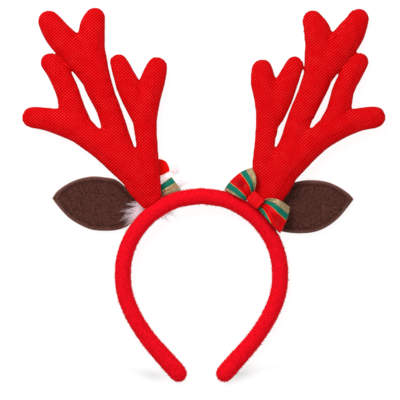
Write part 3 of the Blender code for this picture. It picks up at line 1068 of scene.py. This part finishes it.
@dataclass
class Antler:
    """A stuffed antler in fine knit, with its side seam and the folds below its notches."""

    side: Side
    finish: KnitFinish
    notches: tuple[Notch, ...]
    slits: tuple[Slit, ...] = ()
    gap_ends: tuple[GapEnd, ...] = ()
    voxel: float = 0.72 * MM
    passes: int = 24
    fullness: float = 0.62 * MM
    fold_height: float = 0.4 * MM
    seam_depth: float = 0.45 * MM
    side_cloth: float = 2.6 * MM
    side_width: float = 0.16
    lump: float = 0.2 * MM
    lump_size: float = 9.0 * MM
    seed: float = 3.0

    @property
    def node(self) -> str:
        """Name the solid that this antler stands for."""
        return "antler_" + self.side.name.lower()

    def shape(self) -> Piece:
        """Copy the solid, fill it, and sew and fold its cloth.

        Returns:
            The finished antler.
        """
        piece = soft_copy(
            self.node, self.node + "_knit", self.voxel, self.passes, self.slits, self.gap_ends)
        Stuffing(pressure=5.0, slack=0.5 * MM).fill(piece, self.node)
        rows = places(piece)
        normals = outwards(piece)
        fold_lift_and_highlight = np.zeros(len(rows))
        for notch in self.notches:
            fold_lift_and_highlight = np.maximum(fold_lift_and_highlight, self.folds(rows, notch) * (normals[:, 2] > -0.2))
        level = np.abs(normals[:, 2])
        edge = 1.0 - smooth_step(level / self.side_width)
        above_floor = smooth_step((rows[:, 2] - 1.0 * MM) / (1.5 * MM))
        moved = self.fullness + self.fold_height * fold_lift_and_highlight - self.seam_depth * edge * above_floor
        moved += self.lump * lumps(rows, self.lump_size, self.seed)
        rows += normals * moved[:, None]
        rows[:, 2] = np.maximum(rows[:, 2], OFF_FLOOR)
        set_places(piece, rows)
        # The fold mask raises the cloth, and the knit's finish also paints more highlight there.
        write_mask(piece, "fold_lift_and_highlight", np.clip(fold_lift_and_highlight, 0.0, 1.0))
        self.lay_knit(piece)
        piece.data.shade_smooth()
        return piece

    def lay_knit(self, piece: Piece) -> None:
        """Lay the knit's map, in millimetres: flat on the front, and on round the sides.

        Args:
            piece: The antler.
        """
        rows = places(piece)
        normals = outwards(piece)
        flat = np.linalg.norm(normals[:, :2], axis=1, keepdims=True) + TINY
        extra = self.side_cloth * (1.0 - np.abs(normals[:, 2:3])) ** 1.5
        spots = (rows[:, :2] + normals[:, :2] / flat * extra) / MM
        corners = np.empty(len(piece.data.loops), np.int32)
        piece.data.loops.foreach_get("vertex_index", corners)
        layer = piece.data.uv_layers.new(name="knit")
        layer.uv.foreach_set("vector", spots[corners].astype(np.float32).ravel())

    def folds(self, rows: np.ndarray, notch: Notch) -> np.ndarray:
        """Find how far the cloth is raised in the folds below one notch.

        Args:
            rows: The places of the vertices.
            notch: The notch.

        Returns:
            A value for each place, 0 to 1.
        """
        offset = rows[:, :2] - np.array([notch.x, notch.y]) * MM
        far = np.linalg.norm(offset, axis=1)
        turn = np.arctan2(offset[:, 1], offset[:, 0]) - math.radians(notch.turn)
        turn = (turn + math.pi) % math.tau - math.pi
        fan = np.exp(-((turn / 0.75) ** 2))
        near = smooth_step(far / (2.0 * MM)) * (1.0 - smooth_step(far / (notch.reach * MM)))
        return fan * near * (0.5 + 0.5 * np.cos(turn * 9.0))

    def build(self) -> None:
        piece = self.shape()
        dress(piece, self.finish, Slot.ANTLER_KNIT, self.node)


@dataclass
class Band:
    """The padded headband in red fleece, with its pile."""

    voxel: float = 0.8 * MM
    fullness: float = 0.4 * MM
    end_fullness: float = 0.6 * MM
    lump: float = 0.08 * MM
    lump_sizes: tuple[float, float] = (3.2 * MM, 1.7 * MM)
    end_from: float = -110.0 * MM
    end_over: float = 25.0 * MM
    pile: Pile = Pile(16000, 0.75 * MM, 0.2 * MM, 0.6, 11)

    def build(self) -> None:
        """Make the band and its pile."""
        piece = soft_copy("band", "band_fleece", self.voxel)
        Stuffing(pressure=3.0, slack=0.3 * MM).fill(piece, "band")
        rows = places(piece)
        broad, fine = self.lump_sizes
        relief = lumps(rows, broad, 5.0) + 0.6 * lumps(rows, fine, 9.0)
        at_end = smooth_step((self.end_from - rows[:, 1]) / self.end_over)
        raised = self.lump * relief + self.fullness + self.end_fullness * at_end
        rows += outwards(piece) * raised[:, None]
        rows[:, 2] = np.maximum(rows[:, 2], OFF_FLOOR)
        set_places(piece, rows)
        piece.data.shade_smooth()
        dress(piece, BAND_FLEECE, Slot.BAND_PLUSH, "band")
        fibres = self.pile.grow(piece, "band_pile")
        dress(fibres, BAND_FLEECE, Slot.BAND_PLUSH)


@dataclass
class Ear:
    """One felt ear: a back leaf and a slightly smaller front leaf, sewn together near the rim.

    Rows are x, upper edge y and lower edge y in millimetres, from the tip to the hidden root.
    """

    side: Side
    rows: list[tuple[float, float, float]]
    tip_height: float
    root_height: float
    felt: float = 1.4 * MM
    step: float = 2.0 * MM
    inset: float = 1.1 * MM
    cup: float = 1.2 * MM
    seam_inset: float = 2.9 * MM
    seam_width: float = 0.55 * MM
    seam_depth: float = 0.5 * MM
    stitch: float = 2.2 * MM
    least_half: float = 0.3 * MM
    rim_width: float = 0.75 * MM
    rim_drop: float = 0.5 * MM
    rim_round: float = 0.7 * MM
    brink_width: float = 0.5 * MM
    wave: float = 0.12 * MM
    wave_size: float = 5.0 * MM
    columns: int = 110
    lines: int = 76

    def outline(self) -> np.ndarray:
        """Find the ear's rows on smooth edges, from the tip to the root."""
        return smooth_rows(self.rows, 40)

    def leaf(self, name: str, lift: float, inset: float, sewn: float) -> Piece:
        """Make one leaf from a grid that is drawn into the ear's outline.

        Args:
            name: The piece's name.
            lift: How far it lies over the back leaf.
            inset: How far its rim lies inside the ear's outline.
            sewn: The depth of the sewn line, in metres.

        Returns:
            The leaf with its wall.
        """
        line = self.outline()
        piece = add_grid(name, self.columns, self.lines)
        flat = places(piece)
        along = ((flat[:, 0] + 1.0) / 2) ** 1.35
        across = np.sign(flat[:, 1]) * np.abs(flat[:, 1]) ** 0.9
        stations = np.linspace(0.0, 1.0, len(line))
        x, upper, lower = (np.interp(along, stations, line[:, i]) for i in range(3))
        half = np.maximum((upper - lower) / 2 * MM - inset, self.least_half)
        tipped = -self.side.value * inset * 2.0 * np.maximum(0.0, 1.0 - 4.0 * along)
        spot = np.column_stack([
            x * MM + tipped, (upper + lower) / 2 * MM + across * half, np.zeros(len(flat))])
        height = self.tip_height + (self.root_height - self.tip_height) * along
        height += self.cup * across ** 2 * np.sin(math.pi * along) + lift
        rim_gap, walked = self.to_rim(spot[:, :2], inset)
        groove = np.exp(-(((rim_gap - self.seam_inset) / self.seam_width) ** 2))
        dimple = 0.5 + 0.5 * np.cos(walked / self.stitch * math.tau)
        height -= sewn * groove * (0.35 + 0.65 * dimple)
        height -= self.rim_drop * np.exp(-rim_gap / self.rim_round) * (lift > 0.0)
        spot[:, 2] = height + self.wave * lumps(spot, self.wave_size, 2.0)
        set_places(piece, spot)
        pale = 0.35 if sewn else 0.85
        write_mask(piece, "rim", pale * np.exp(-((rim_gap / self.rim_width) ** 2)))
        # Painted shade in the stitch dimples, and painted shadow along the front leaf's brink.
        stitch_shade = groove * (0.2 + 0.8 * dimple ** 2)
        brink_shadow = 0.6 * np.exp(-((rim_gap / self.brink_width) ** 2))
        write_mask(piece, "seam", np.maximum(stitch_shade, brink_shadow) * (0.9 if sewn else 0.0))
        thicken(piece, self.felt)
        bpy.ops.object.shade_smooth_by_angle(angle=math.radians(50.0))
        return piece

    def to_rim(self, spots: np.ndarray, inset: float) -> tuple[np.ndarray, np.ndarray]:
        """Measure from places in plan to the leaf's rim.

        Args:
            spots: The places, x and y.
            inset: How far the leaf's rim lies inside the ear's outline.

        Returns:
            The distance to the rim, and how far along the rim that is.
        """
        line = self.outline()
        half = np.maximum((line[:, 1] - line[:, 2]) / 2 * MM - inset, self.least_half)
        middle = (line[:, 1] + line[:, 2]) / 2 * MM
        shift = np.maximum(0.0, 1.0 - 4.0 * np.linspace(0.0, 1.0, len(line)))
        x = line[:, 0] * MM - self.side.value * inset * 2.0 * shift
        upper = np.column_stack([x, middle + half])
        lower = np.column_stack([x, middle - half])
        rim = np.vstack([upper[::-1], lower])
        walked = np.concatenate([[0.0], np.cumsum(np.linalg.norm(np.diff(rim, axis=0), axis=1))])
        gaps = np.linalg.norm(spots[:, None, :] - rim[None, :, :], axis=2)
        nearest = gaps.argmin(axis=1)
        return gaps[np.arange(len(spots)), nearest], walked[nearest]

    def build(self) -> None:
        stem = "ear_" + self.side.name.lower()
        back = self.leaf(stem + "_back_felt", 0.0, 0.0, 0.0)
        front = self.leaf(stem + "_front_felt", self.step, self.inset, self.seam_depth)
        dress(back, EAR_FELT, Slot.EAR_FELT, stem + "_back")
        dress(front, EAR_FELT, Slot.EAR_FELT, stem + "_front")


@dataclass(frozen=True)
class Dent:
    """A dent in a ribbon loop: its place and size along and across, and its depth in mm."""

    reach: float
    share: float
    long: float
    wide: float
    depth: float

    def at(self, reach: np.ndarray, share: np.ndarray) -> np.ndarray:
        """Find how deep in the dent points of the ribbon lie, 0 to 1."""
        gap = ((reach - self.reach) / self.long) ** 2 + ((share - self.share) / self.wide) ** 2
        return np.exp(-gap)


@dataclass
class RibbonLoop:
    """One loop of a bow: out behind from the knot, round at the fold, and back in front.

    root and fold are the lower and upper corners in plan. back is the height of the loop's back
    at the root and at the fold, depth its thickness there, and sinks_from the share of the way
    where it starts to sink. bulge rounds the fold, belly rounds the upper edge, tilt lifts it,
    and tuck is the share of the ribbon's width that is turned under at its lower edge.
    Lengths are in millimetres, but for ribbon_width and wall.
    """

    node: str
    root: tuple[tuple[float, float], tuple[float, float]]
    fold: tuple[tuple[float, float], tuple[float, float]]
    back: tuple[float, float]
    depth: tuple[float, float]
    sinks_from: float
    bulge: float = 1.0
    belly: float = 0.0
    tilt: float = 0.0
    tuck: float = 0.0
    root_tuck: float = 0.0
    belly_peak: float = 1.2
    pleats: float = 4.0
    pleat_depth: float = 1.1
    stripes: tuple[float, float] = (0.0, 1.0)
    dents: tuple[Dent, ...] = ()
    ribbon_width: float = 30.0 * MM
    wall: float = 0.45 * MM
    columns: int = 90
    lines: int = 64

    @staticmethod
    def way_out(along: np.ndarray) -> np.ndarray:
        """Find how far out from the knot points of the ribbon lie, 0 to 1 at the fold."""
        return np.maximum(np.sin(math.pi * along), 0.0) ** 0.6

    def surface(self, along: np.ndarray, across: np.ndarray) -> np.ndarray:
        """Place points of the ribbon.

        Args:
            along: The way along the ribbon, 0 to 1.
            across: The way over its width, -1 to 1.

        Returns:
            One place for each point.
        """
        share = (across + 1.0) / 2
        reach = self.way_out(along)
        lift = 0.5 - 0.5 * np.cos(math.pi * along)
        tucked = self.root_tuck + (self.tuck - self.root_tuck) * smooth_step(reach / 0.7)
        tucked *= along > 0.5
        over = share - tucked
        spread = np.where(over > 0.0, over / (1.0 - tucked), -0.45 * over)
        root_low, root_high = (np.array(corner) for corner in self.root)
        fold_low, fold_high = (np.array(corner) for corner in self.fold)
        outward = (fold_low + fold_high) - (root_low + root_high)
        outward /= np.linalg.norm(outward)
        upward = (fold_high - fold_low) / np.linalg.norm(fold_high - fold_low)
        near = root_low + (root_high - root_low) * spread[:, None]
        far = fold_low + (fold_high - fold_low) * spread[:, None]
        plan = near + (far - near) * reach[:, None]
        plan += outward * (self.bulge * (1.0 - across ** 2) * reach ** 3)[:, None]
        plan += upward * (self.belly * spread * np.sin(math.pi * reach ** self.belly_peak))[:, None]
        sunk = smooth_step((reach - self.sinks_from) / (1.0 - self.sinks_from))
        height = self.back[0] + (self.back[1] - self.back[0]) * sunk + self.tilt * share * reach
        depth = self.depth[0] + (self.depth[1] - self.depth[0]) * smooth_step(reach / 0.7)
        height += lift * depth * (1.0 - 0.35 * across ** 2)
        pleat = np.cos(self.pleats * math.tau * share) * (1.0 - reach) ** 1.3
        height += self.pleat_depth * pleat
        height -= np.maximum(-over, 0.0) * 24.0 * (along > 0.5)
        for dent in self.dents:
            height -= dent.depth * dent.at(reach, share) * smooth_step((along - 0.5) / 0.08)
        return np.column_stack([plan, height]) * MM

    def length(self) -> float:
        """Measure the ribbon along its middle, out from the knot and back.

        Returns:
            The length in metres.
        """
        along = np.linspace(0.0, 1.0, 400)
        line = self.surface(along, np.zeros(len(along)))
        return float(np.linalg.norm(np.diff(line, axis=0), axis=1).sum())

    def fold_shade(self, along: np.ndarray, across: np.ndarray) -> np.ndarray:
        """Find how much painted shade points of the ribbon get: pleats near the knot, and dents.

        Args:
            along: The way along the ribbon, 0 to 1.
            across: The way over its width, -1 to 1.

        Returns:
            A value for each point, 0 to 0.8.
        """
        share = (across + 1.0) / 2
        reach = self.way_out(along)
        grooves = 0.5 - 0.5 * np.cos(self.pleats * math.tau * share)
        deep = 0.45 * (1.0 - smooth_step(reach / 0.5)) * (0.4 + 0.6 * grooves)
        for dent in self.dents:
            deep = np.maximum(deep, 0.3 * dent.depth * dent.at(reach, share))
        return np.clip(deep, 0.0, 0.8)

    def build(self) -> Piece:
        """Returns:
            The loop.
        """
        piece = add_grid(self.node + "_ribbon", self.columns, self.lines)
        flat = places(piece)
        along, across = (flat[:, 0] + 1.0) / 2, flat[:, 1]
        uv = piece.data.uv_layers[0]
        start, end = self.stripes
        for loop, corner in zip(piece.data.loops, uv.data):
            x, y, _ = flat[loop.vertex_index]
            corner.uv = ((x + 1.0) / 2, start + (end - start) * (y + 1.0) / 2)
        set_places(piece, self.surface(along, across))
        # The fold mask is painted shade, which the ribbon's finish darkens by.
        write_mask(piece, "fold", self.fold_shade(along, across))
        thicken(piece, self.wall)
        piece.data.shade_smooth()
        dress(piece, STRIPED_RIBBON, Slot.STRIPED_RIBBON, self.node)
        flat_size = (round(self.ribbon_width, 3), round(self.length(), 3))
        return piece


@dataclass
class Knot:
    """A short length of satin wrapped round the middle of a bow.

    centre and size are in millimetres, and turn is in degrees.
    """

    node: str
    centre: tuple[float, float, float]
    size: tuple[float, float, float]
    turn: float
    folds: float = 2.0
    fold_height: float = 0.16 * MM
    rounding: float = 0.24

    def build(self) -> None:
        """Round a block, gather it into soft folds and put it in its place."""
        bpy.ops.object.select_all(action="DESELECT")
        bpy.ops.mesh.primitive_cube_add(size=1.0, location=(0.0, 0.0, 0.0))
        piece = bpy.context.object
        piece.name = self.node + "_satin"
        bpy.ops.object.mode_set(mode="EDIT")
        bpy.ops.mesh.select_all(action="SELECT")
        bpy.ops.transform.resize(value=tuple(side * MM for side in self.size))
        bpy.ops.mesh.bevel(offset=min(self.size) * MM * self.rounding, segments=3, affect="EDGES")
        bpy.ops.mesh.select_all(action="SELECT")
        bpy.ops.mesh.subdivide(number_cuts=3)
        bpy.ops.object.mode_set(mode="OBJECT")
        subdivide(piece, 1)
        rows = places(piece)
        normals = outwards(piece)
        half = np.array(self.size) * MM / 2
        share = rows / half
        crease = np.cos(share[:, 0] * math.pi * self.folds + 0.7 * share[:, 1])
        crease += 0.5 * np.cos(share[:, 0] * math.pi * self.folds * 2.3 + 1.0 - share[:, 1])
        raised = self.fold_height * crease * (0.4 + 0.6 * np.abs(normals[:, 2]))
        rows += normals * raised[:, None]
        angle = math.radians(self.turn)
        turned = rows.copy()
        turned[:, 0] = rows[:, 0] * math.cos(angle) - rows[:, 1] * math.sin(angle)
        turned[:, 1] = rows[:, 0] * math.sin(angle) + rows[:, 1] * math.cos(angle)
        set_places(piece, turned + np.array(self.centre) * MM)
        piece.data.shade_smooth()
        dress(piece, KNOT_SATIN, Slot.KNOT_SATIN, self.node)


@dataclass
class Hat:
    """A small stuffed hat behind the left antler: felt crown, plush roll and pompom."""

    roll_pile: Pile = Pile(2600, 0.8 * MM, 0.2 * MM, 0.6, 21)
    pompom_pile: Pile = Pile(2200, 0.8 * MM, 0.16 * MM, 0.7, 22)
    crown_lump: float = 0.2 * MM
    plush_lump: float = 0.1 * MM

    def build(self) -> None:
        """Make the crown, the roll and the pompom."""
        crown = soft_copy("hat_crown", "hat_crown_felt", 0.7 * MM)
        Stuffing(pressure=3.0, slack=0.2 * MM, voxel=1.2 * MM).fill(crown, "hat_crown")
        subdivide(crown, 1)
        rows = places(crown)
        raised = self.crown_lump * lumps(rows, 4.0 * MM, 1.0)
        set_places(crown, rows + outwards(crown) * raised[:, None])
        crown.data.shade_smooth()
        dress(crown, HAT_FELT, Slot.HAT_FELT, "hat_crown")
        for node, pile in (("hat_brim", self.roll_pile), ("hat_pompom", self.pompom_pile)):
            piece = soft_copy(node, node + "_plush", 0.6 * MM)
            subdivide(piece, 1)
            rows = places(piece)
            raised = self.plush_lump * lumps(rows, 1.6 * MM, 4.0) - self.plush_lump
            set_places(piece, rows + outwards(piece) * raised[:, None])
            piece.data.shade_smooth()
            dress(piece, WHITE_PLUSH, Slot.WHITE_PLUSH, node)
            dress(pile.grow(piece, node + "_pile"), WHITE_PLUSH, Slot.WHITE_PLUSH)


@dataclass
class Tuft:
    """White fur fanned out from a small head behind the band.

    Locks are an angle from +X in degrees, a length in millimetres, the height of the free end in
    millimetres and a number of wisps. Spreads say how much the wisps of a lock differ, reaches
    are the usual, the spread, the least and the most of a wisp's share of its lock's length, and
    drawn is how far the hairs of a wisp draw together.
    """

    head: tuple[float, float, float] = (-40.0, -9.0, 4.8)
    head_half: tuple[float, float, float] = (9.5, 7.5, 2.3)
    locks: tuple[tuple[float, float, float, int], ...] = (
        (42.0, 34.0, 4.6, 20),
        (35.0, 33.0, 5.6, 28),
        (27.0, 34.0, 4.6, 28),
        (18.0, 29.0, 5.6, 24),
        (8.0, 26.0, 4.6, 18),
        (-10.0, 24.0, 5.6, 14),
        (-24.0, 20.5, 4.6, 22),
        (-45.0, 17.0, 5.4, 26),
        (-68.0, 13.5, 4.6, 24),
        (-122.0, 29.0, 8.5, 8),
        (-131.0, 32.0, 8.8, 24),
        (-140.0, 32.0, 9.2, 34),
        (-148.0, 30.0, 9.2, 30),
        (-157.0, 28.0, 9.0, 22),
        (-168.0, 25.0, 9.2, 17),
        (178.0, 22.0, 9.0, 12),
        (164.0, 20.0, 9.0, 8),
    )
    hairs_each: int = 9
    stations: int = 7
    width: float = 0.24 * MM
    turn_spread: float = 4.0
    reaches: tuple[float, float, float, float] = (0.74, 0.2, 0.35, 1.05)
    bend_spread: float = 0.12
    wave_spread: float = 0.03
    root_spread: float = 0.2
    height_spread: float = 0.4
    drawn: float = 0.65
    seed: int = 31

    def wisp(
        self, chance: np.random.Generator, lock: tuple[float, float, float, int]
    ) -> np.ndarray:
        """Work out the hairs of one wisp, which start apart and draw together.

        Args:
            chance: Where random values come from.
            lock: The lock that the wisp belongs to.

        Returns:
            Hairs by stations by 3, in millimetres.
        """
        angle, length, end_height, _ = lock
        usual, spread, least, most = self.reaches
        turn = math.radians(angle + chance.normal(0.0, self.turn_spread))
        reach = length * float(np.clip(chance.normal(usual, spread), least, most))
        bend = chance.normal(0.0, self.bend_spread) * reach
        wave = chance.normal(0.0, self.wave_spread) * reach
        forward = np.array([math.cos(turn), math.sin(turn), 0.0])
        aside = np.array([-forward[1], forward[0], 0.0])
        head = np.array(self.head)
        root = head + chance.normal(0.0, self.root_spread, 3) * np.array(self.head_half)
        height = end_height + chance.normal(0.0, self.height_spread)
        count = self.hairs_each
        starts = root + chance.normal(0.0, 1.0, (count, 3)) * np.array([1.5, 1.5, 0.8])
        ends = chance.normal(0.0, 0.5, (count, 1))
        lengths = reach * chance.uniform(0.72, 1.0, (count, 1))
        path = np.zeros((count, self.stations, 3))
        for row, part in enumerate(np.linspace(0.0, 1.0, self.stations)):
            swing = bend * part ** 2 + wave * math.sin(part * 7.0) + ends * (0.35 + part)
            drawn = 1.0 - self.drawn * math.sin(part * math.pi / 2)
            place = root + (starts - root) * drawn + forward * lengths * part + aside * swing
            place[:, 2] += (height - root[2]) * smooth_step(np.array(part * 1.4))
            path[:, row] = place
        return path

    def hairs(self) -> tuple[np.ndarray, np.ndarray]:
        """Work out the path and thickness of every hair.

        Returns:
            Paths, hairs by stations by 3, and radii, hairs by stations without the last.
        """
        chance = np.random.default_rng(self.seed)
        wisps = [self.wisp(chance, lock) for lock in self.locks for _ in range(lock[3])]
        joined = np.concatenate(wisps) * MM
        joined[:, :, 2] = np.maximum(joined[:, :, 2], 0.3 * MM)
        share = np.linspace(0.0, 1.0, self.stations)[:-1]
        taper = (1.0 - 0.85 * share ** 1.3) * self.width / 2
        return joined, np.tile(taper, (len(joined), 1))

    def build(self) -> None:
        """Make the head and the hairs that hide it."""
        bpy.ops.object.select_all(action="DESELECT")
        bpy.ops.mesh.primitive_uv_sphere_add(segments=40, ring_count=24, radius=1.0)
        core = bpy.context.object
        core.name = "fur_tuft_head"
        rows = places(core)
        rows *= 1.0 + 0.08 * lumps(rows, 0.4, 8.0)[:, None]
        set_places(core, (rows * np.array(self.head_half) * 0.8 + np.array(self.head)) * MM)
        core.data.shade_smooth()
        paths, radii = self.hairs()
        hair = add_piece("fur_tuft_hair", strand_mesh("fur_tuft_hair", paths, radii))
        dress(core, WHITE_FUR, Slot.WHITE_FUR)
        dress(hair, WHITE_FUR, Slot.WHITE_FUR, "fur_tuft")


@dataclass(frozen=True)
class Lamp:
    """A square soft lamp that points at the headband."""

    name: str
    place: tuple[float, float, float]
    size: float
    power: float

    def hang(self) -> None:
        """Hang the lamp in its place."""
        light = bpy.data.lights.new(self.name, "AREA")
        light.size = self.size
        light.energy = self.power
        holder = bpy.data.objects.new(self.name, light)
        holder.location = self.place
        holder.rotation_euler = (-Vector(self.place)).to_track_quat("-Z", "Y").to_euler()
        bpy.context.scene.collection.objects.link(holder)


@dataclass
class Studio:
    """The pale table, the soft light and the camera over the headband."""

    middle: tuple[float, float] = (-3.0 * MM, -4.7 * MM)
    field_width: float = 0.32
    focus_height: float = 8.0 * MM
    camera_height: float = 2.4
    world_strength: float = 0.36
    sensor_width: float = 36.0
    table_size: float = 6.0
    lamps: tuple[Lamp, ...] = (
        Lamp("key", (-0.55, 0.75, 1.25), 0.9, 21.0),
        Lamp("fill", (0.8, -0.3, 1.3), 1.2, 5.0),
    )

    def floor(self) -> None:
        """Lay the table."""
        bpy.ops.object.select_all(action="DESELECT")
        bpy.ops.mesh.primitive_plane_add(size=self.table_size, location=(0.0, 0.0, 0.0))
        table = bpy.context.object
        table.name = "table"
        table.data.materials.append(FLOOR_WHITE.material())

    def build(self) -> None:
        """Set the table, the lights and the camera."""
        self.floor()
        for lamp in self.lamps:
            lamp.hang()
        scene = bpy.context.scene
        world = bpy.data.worlds.new("studio")
        world.use_nodes = True
        sky = world.node_tree.nodes["Background"]
        sky.inputs["Color"].default_value = (1.0, 1.0, 1.0, 1.0)
        sky.inputs["Strength"].default_value = self.world_strength
        scene.world = world
        scene.view_settings.view_transform = "Standard"
        camera = bpy.data.cameras.new("camera")
        camera.sensor_width = self.sensor_width
        distance = self.camera_height - self.focus_height
        camera.lens = self.sensor_width * distance / self.field_width
        camera.clip_end = 20.0
        holder = bpy.data.objects.new("camera", camera)
        holder.location = (*self.middle, self.camera_height)
        scene.collection.objects.link(holder)
        scene.camera = holder


LEFT_NOTCHES = (
    Notch(-83.0, 52.0, -55.0, 17.0),
    Notch(-54.0, 35.5, -85.0, 22.0),
    Notch(-117.0, 68.0, -80.0, 12.0),
)
RIGHT_NOTCHES = (
    Notch(87.0, 54.0, -120.0, 17.0),
    Notch(58.5, 38.0, -95.0, 22.0),
    Notch(118.0, 68.0, -100.0, 12.0),
)
LEFT_SLITS = (
    Slit((-76.0, 106.0), (-70.6, 84.0), 1.35),
    Slit((-70.8, 84.0), (-67.6, 76.0), 1.2),
    Slit((-112.6, 105.4), (-106.0, 97.0), 1.2),
)
LEFT_GAP_ENDS = (
    GapEnd(((-92.0, 61.0), (-84.2, 61.0), (-81.6, 51.8), (-84.6, 51.8))),
    GapEnd(((-58.4, 46.0), (-54.4, 46.0), (-53.2, 36.4), (-55.4, 36.4))),
)
RIGHT_GAP_ENDS = (
    GapEnd(((87.2, 61.0), (93.2, 61.0), (88.4, 53.6), (83.0, 49.8))),
    GapEnd(((56.6, 46.0), (60.4, 46.0), (57.8, 36.4), (55.6, 36.4))),
)
EAR_LEFT_ROWS = [
    (-121.2, -2.6, -4.0),
    (-117.2, 2.6, -9.2),
    (-109.0, 8.4, -18.2),
    (-100.0, 12.2, -24.2),
    (-90.0, 14.2, -28.4),
    (-80.0, 13.6, -29.4),
    (-70.0, 11.4, -28.8),
    (-61.0, 4.0, -25.6),
    (-53.0, -4.0, -18.0),
]
EAR_RIGHT_ROWS = [
    (119.8, -3.4, -4.8),
    (116.0, 0.6, -9.6),
    (108.0, 6.0, -19.0),
    (99.0, 9.8, -26.0),
    (89.0, 11.2, -30.2),
    (79.0, 10.8, -31.4),
    (69.0, 8.0, -31.0),
    (59.0, 1.0, -29.0),
    (46.0, -14.0, -24.0),
]


@dataclass
class Headband:
    """The whole headband, piece by piece."""

    band: Band = field(default_factory=Band)
    antlers: tuple[Antler, ...] = (
        Antler(Side.LEFT, LEFT_KNIT, LEFT_NOTCHES, LEFT_SLITS, LEFT_GAP_ENDS, seed=3.0),
        Antler(Side.RIGHT, RIGHT_KNIT, RIGHT_NOTCHES, (), RIGHT_GAP_ENDS, seed=6.0),
    )
    ears: tuple[Ear, ...] = (
        Ear(Side.LEFT, EAR_LEFT_ROWS, 3.0 * MM, 3.2 * MM),
        Ear(Side.RIGHT, EAR_RIGHT_ROWS, 4.2 * MM, 6.8 * MM),
    )
    loops: tuple[RibbonLoop, ...] = (
        RibbonLoop(
            "bow_front_loop_left", ((33.6, -5.4), (40.2, 2.4)), ((17.2, 2.4), (38.4, 20.8)),
            (23.6, 14.0), (3.0, 10.5), 0.15, bulge=3.6, belly=2.6, belly_peak=0.8, tilt=6.0,
            tuck=0.10, root_tuck=0.14, pleat_depth=0.9,
            dents=(Dent(0.66, 0.48, 0.26, 0.17, 2.2),)),
        RibbonLoop(
            "bow_front_loop_right", ((43.0, -11.6), (48.0, -4.4)), ((59.2, -30.2), (68.4, -10.4)),
            (23.5, 17.0), (3.0, 8.5), 0.5, bulge=2.0, belly=3.2, belly_peak=0.8,
            tuck=0.33, root_tuck=0.10,
            dents=(Dent(0.58, 0.52, 0.24, 0.055, 1.5), Dent(0.86, 0.5, 0.10, 0.08, 0.7))),
        RibbonLoop(
            "bow_back_loop_right", ((-35.0, -4.6), (-40.0, 3.4)), ((-17.6, 2.0), (-26.2, 13.6)),
            (8.6, 8.2), (1.8, 3.6), 0.3, bulge=0.2, pleat_depth=0.4, stripes=(-0.09, 0.325),
            ribbon_width=14.0 * MM),
        RibbonLoop(
            "bow_back_loop_left", ((-43.6, 2.4), (-46.0, -0.7)), ((-52.0, 12.0), (-58.0, 5.6)),
            (8.5, 7.9), (1.8, 2.0), 0.3, pleat_depth=0.4, stripes=(0.0, 0.42),
            ribbon_width=10.0 * MM),
    )
    knots: tuple[Knot, ...] = (
        Knot("bow_front_knot", (41.1, -4.6, 26.9), (12.0, 10.2, 7.5), -42.0),
        Knot("bow_back_knot", (-41.2, -2.0, 9.8), (6.8, 6.4, 3.2), 30.0),
    )
    hat: Hat = field(default_factory=Hat)
    tuft: Tuft = field(default_factory=Tuft)

    def build(self) -> None:
        """Build every piece in order."""
        self.band.build()
        for part in (*self.antlers, *self.ears, *self.loops, *self.knots):
            part.build()
        self.hat.build()
        self.tuft.build()


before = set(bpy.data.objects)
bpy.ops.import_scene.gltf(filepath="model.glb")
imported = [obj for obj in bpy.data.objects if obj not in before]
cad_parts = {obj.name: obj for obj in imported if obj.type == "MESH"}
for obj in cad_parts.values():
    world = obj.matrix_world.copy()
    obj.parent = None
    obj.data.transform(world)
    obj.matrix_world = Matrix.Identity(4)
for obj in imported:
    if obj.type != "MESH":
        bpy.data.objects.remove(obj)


def main() -> None:
    """Build the headband and its studio."""
    logging.basicConfig(level=logging.INFO, format="%(name)s: %(message)s")
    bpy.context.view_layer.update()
    Studio().build()
    Headband().build()


if __name__ == "__main__":
    main()
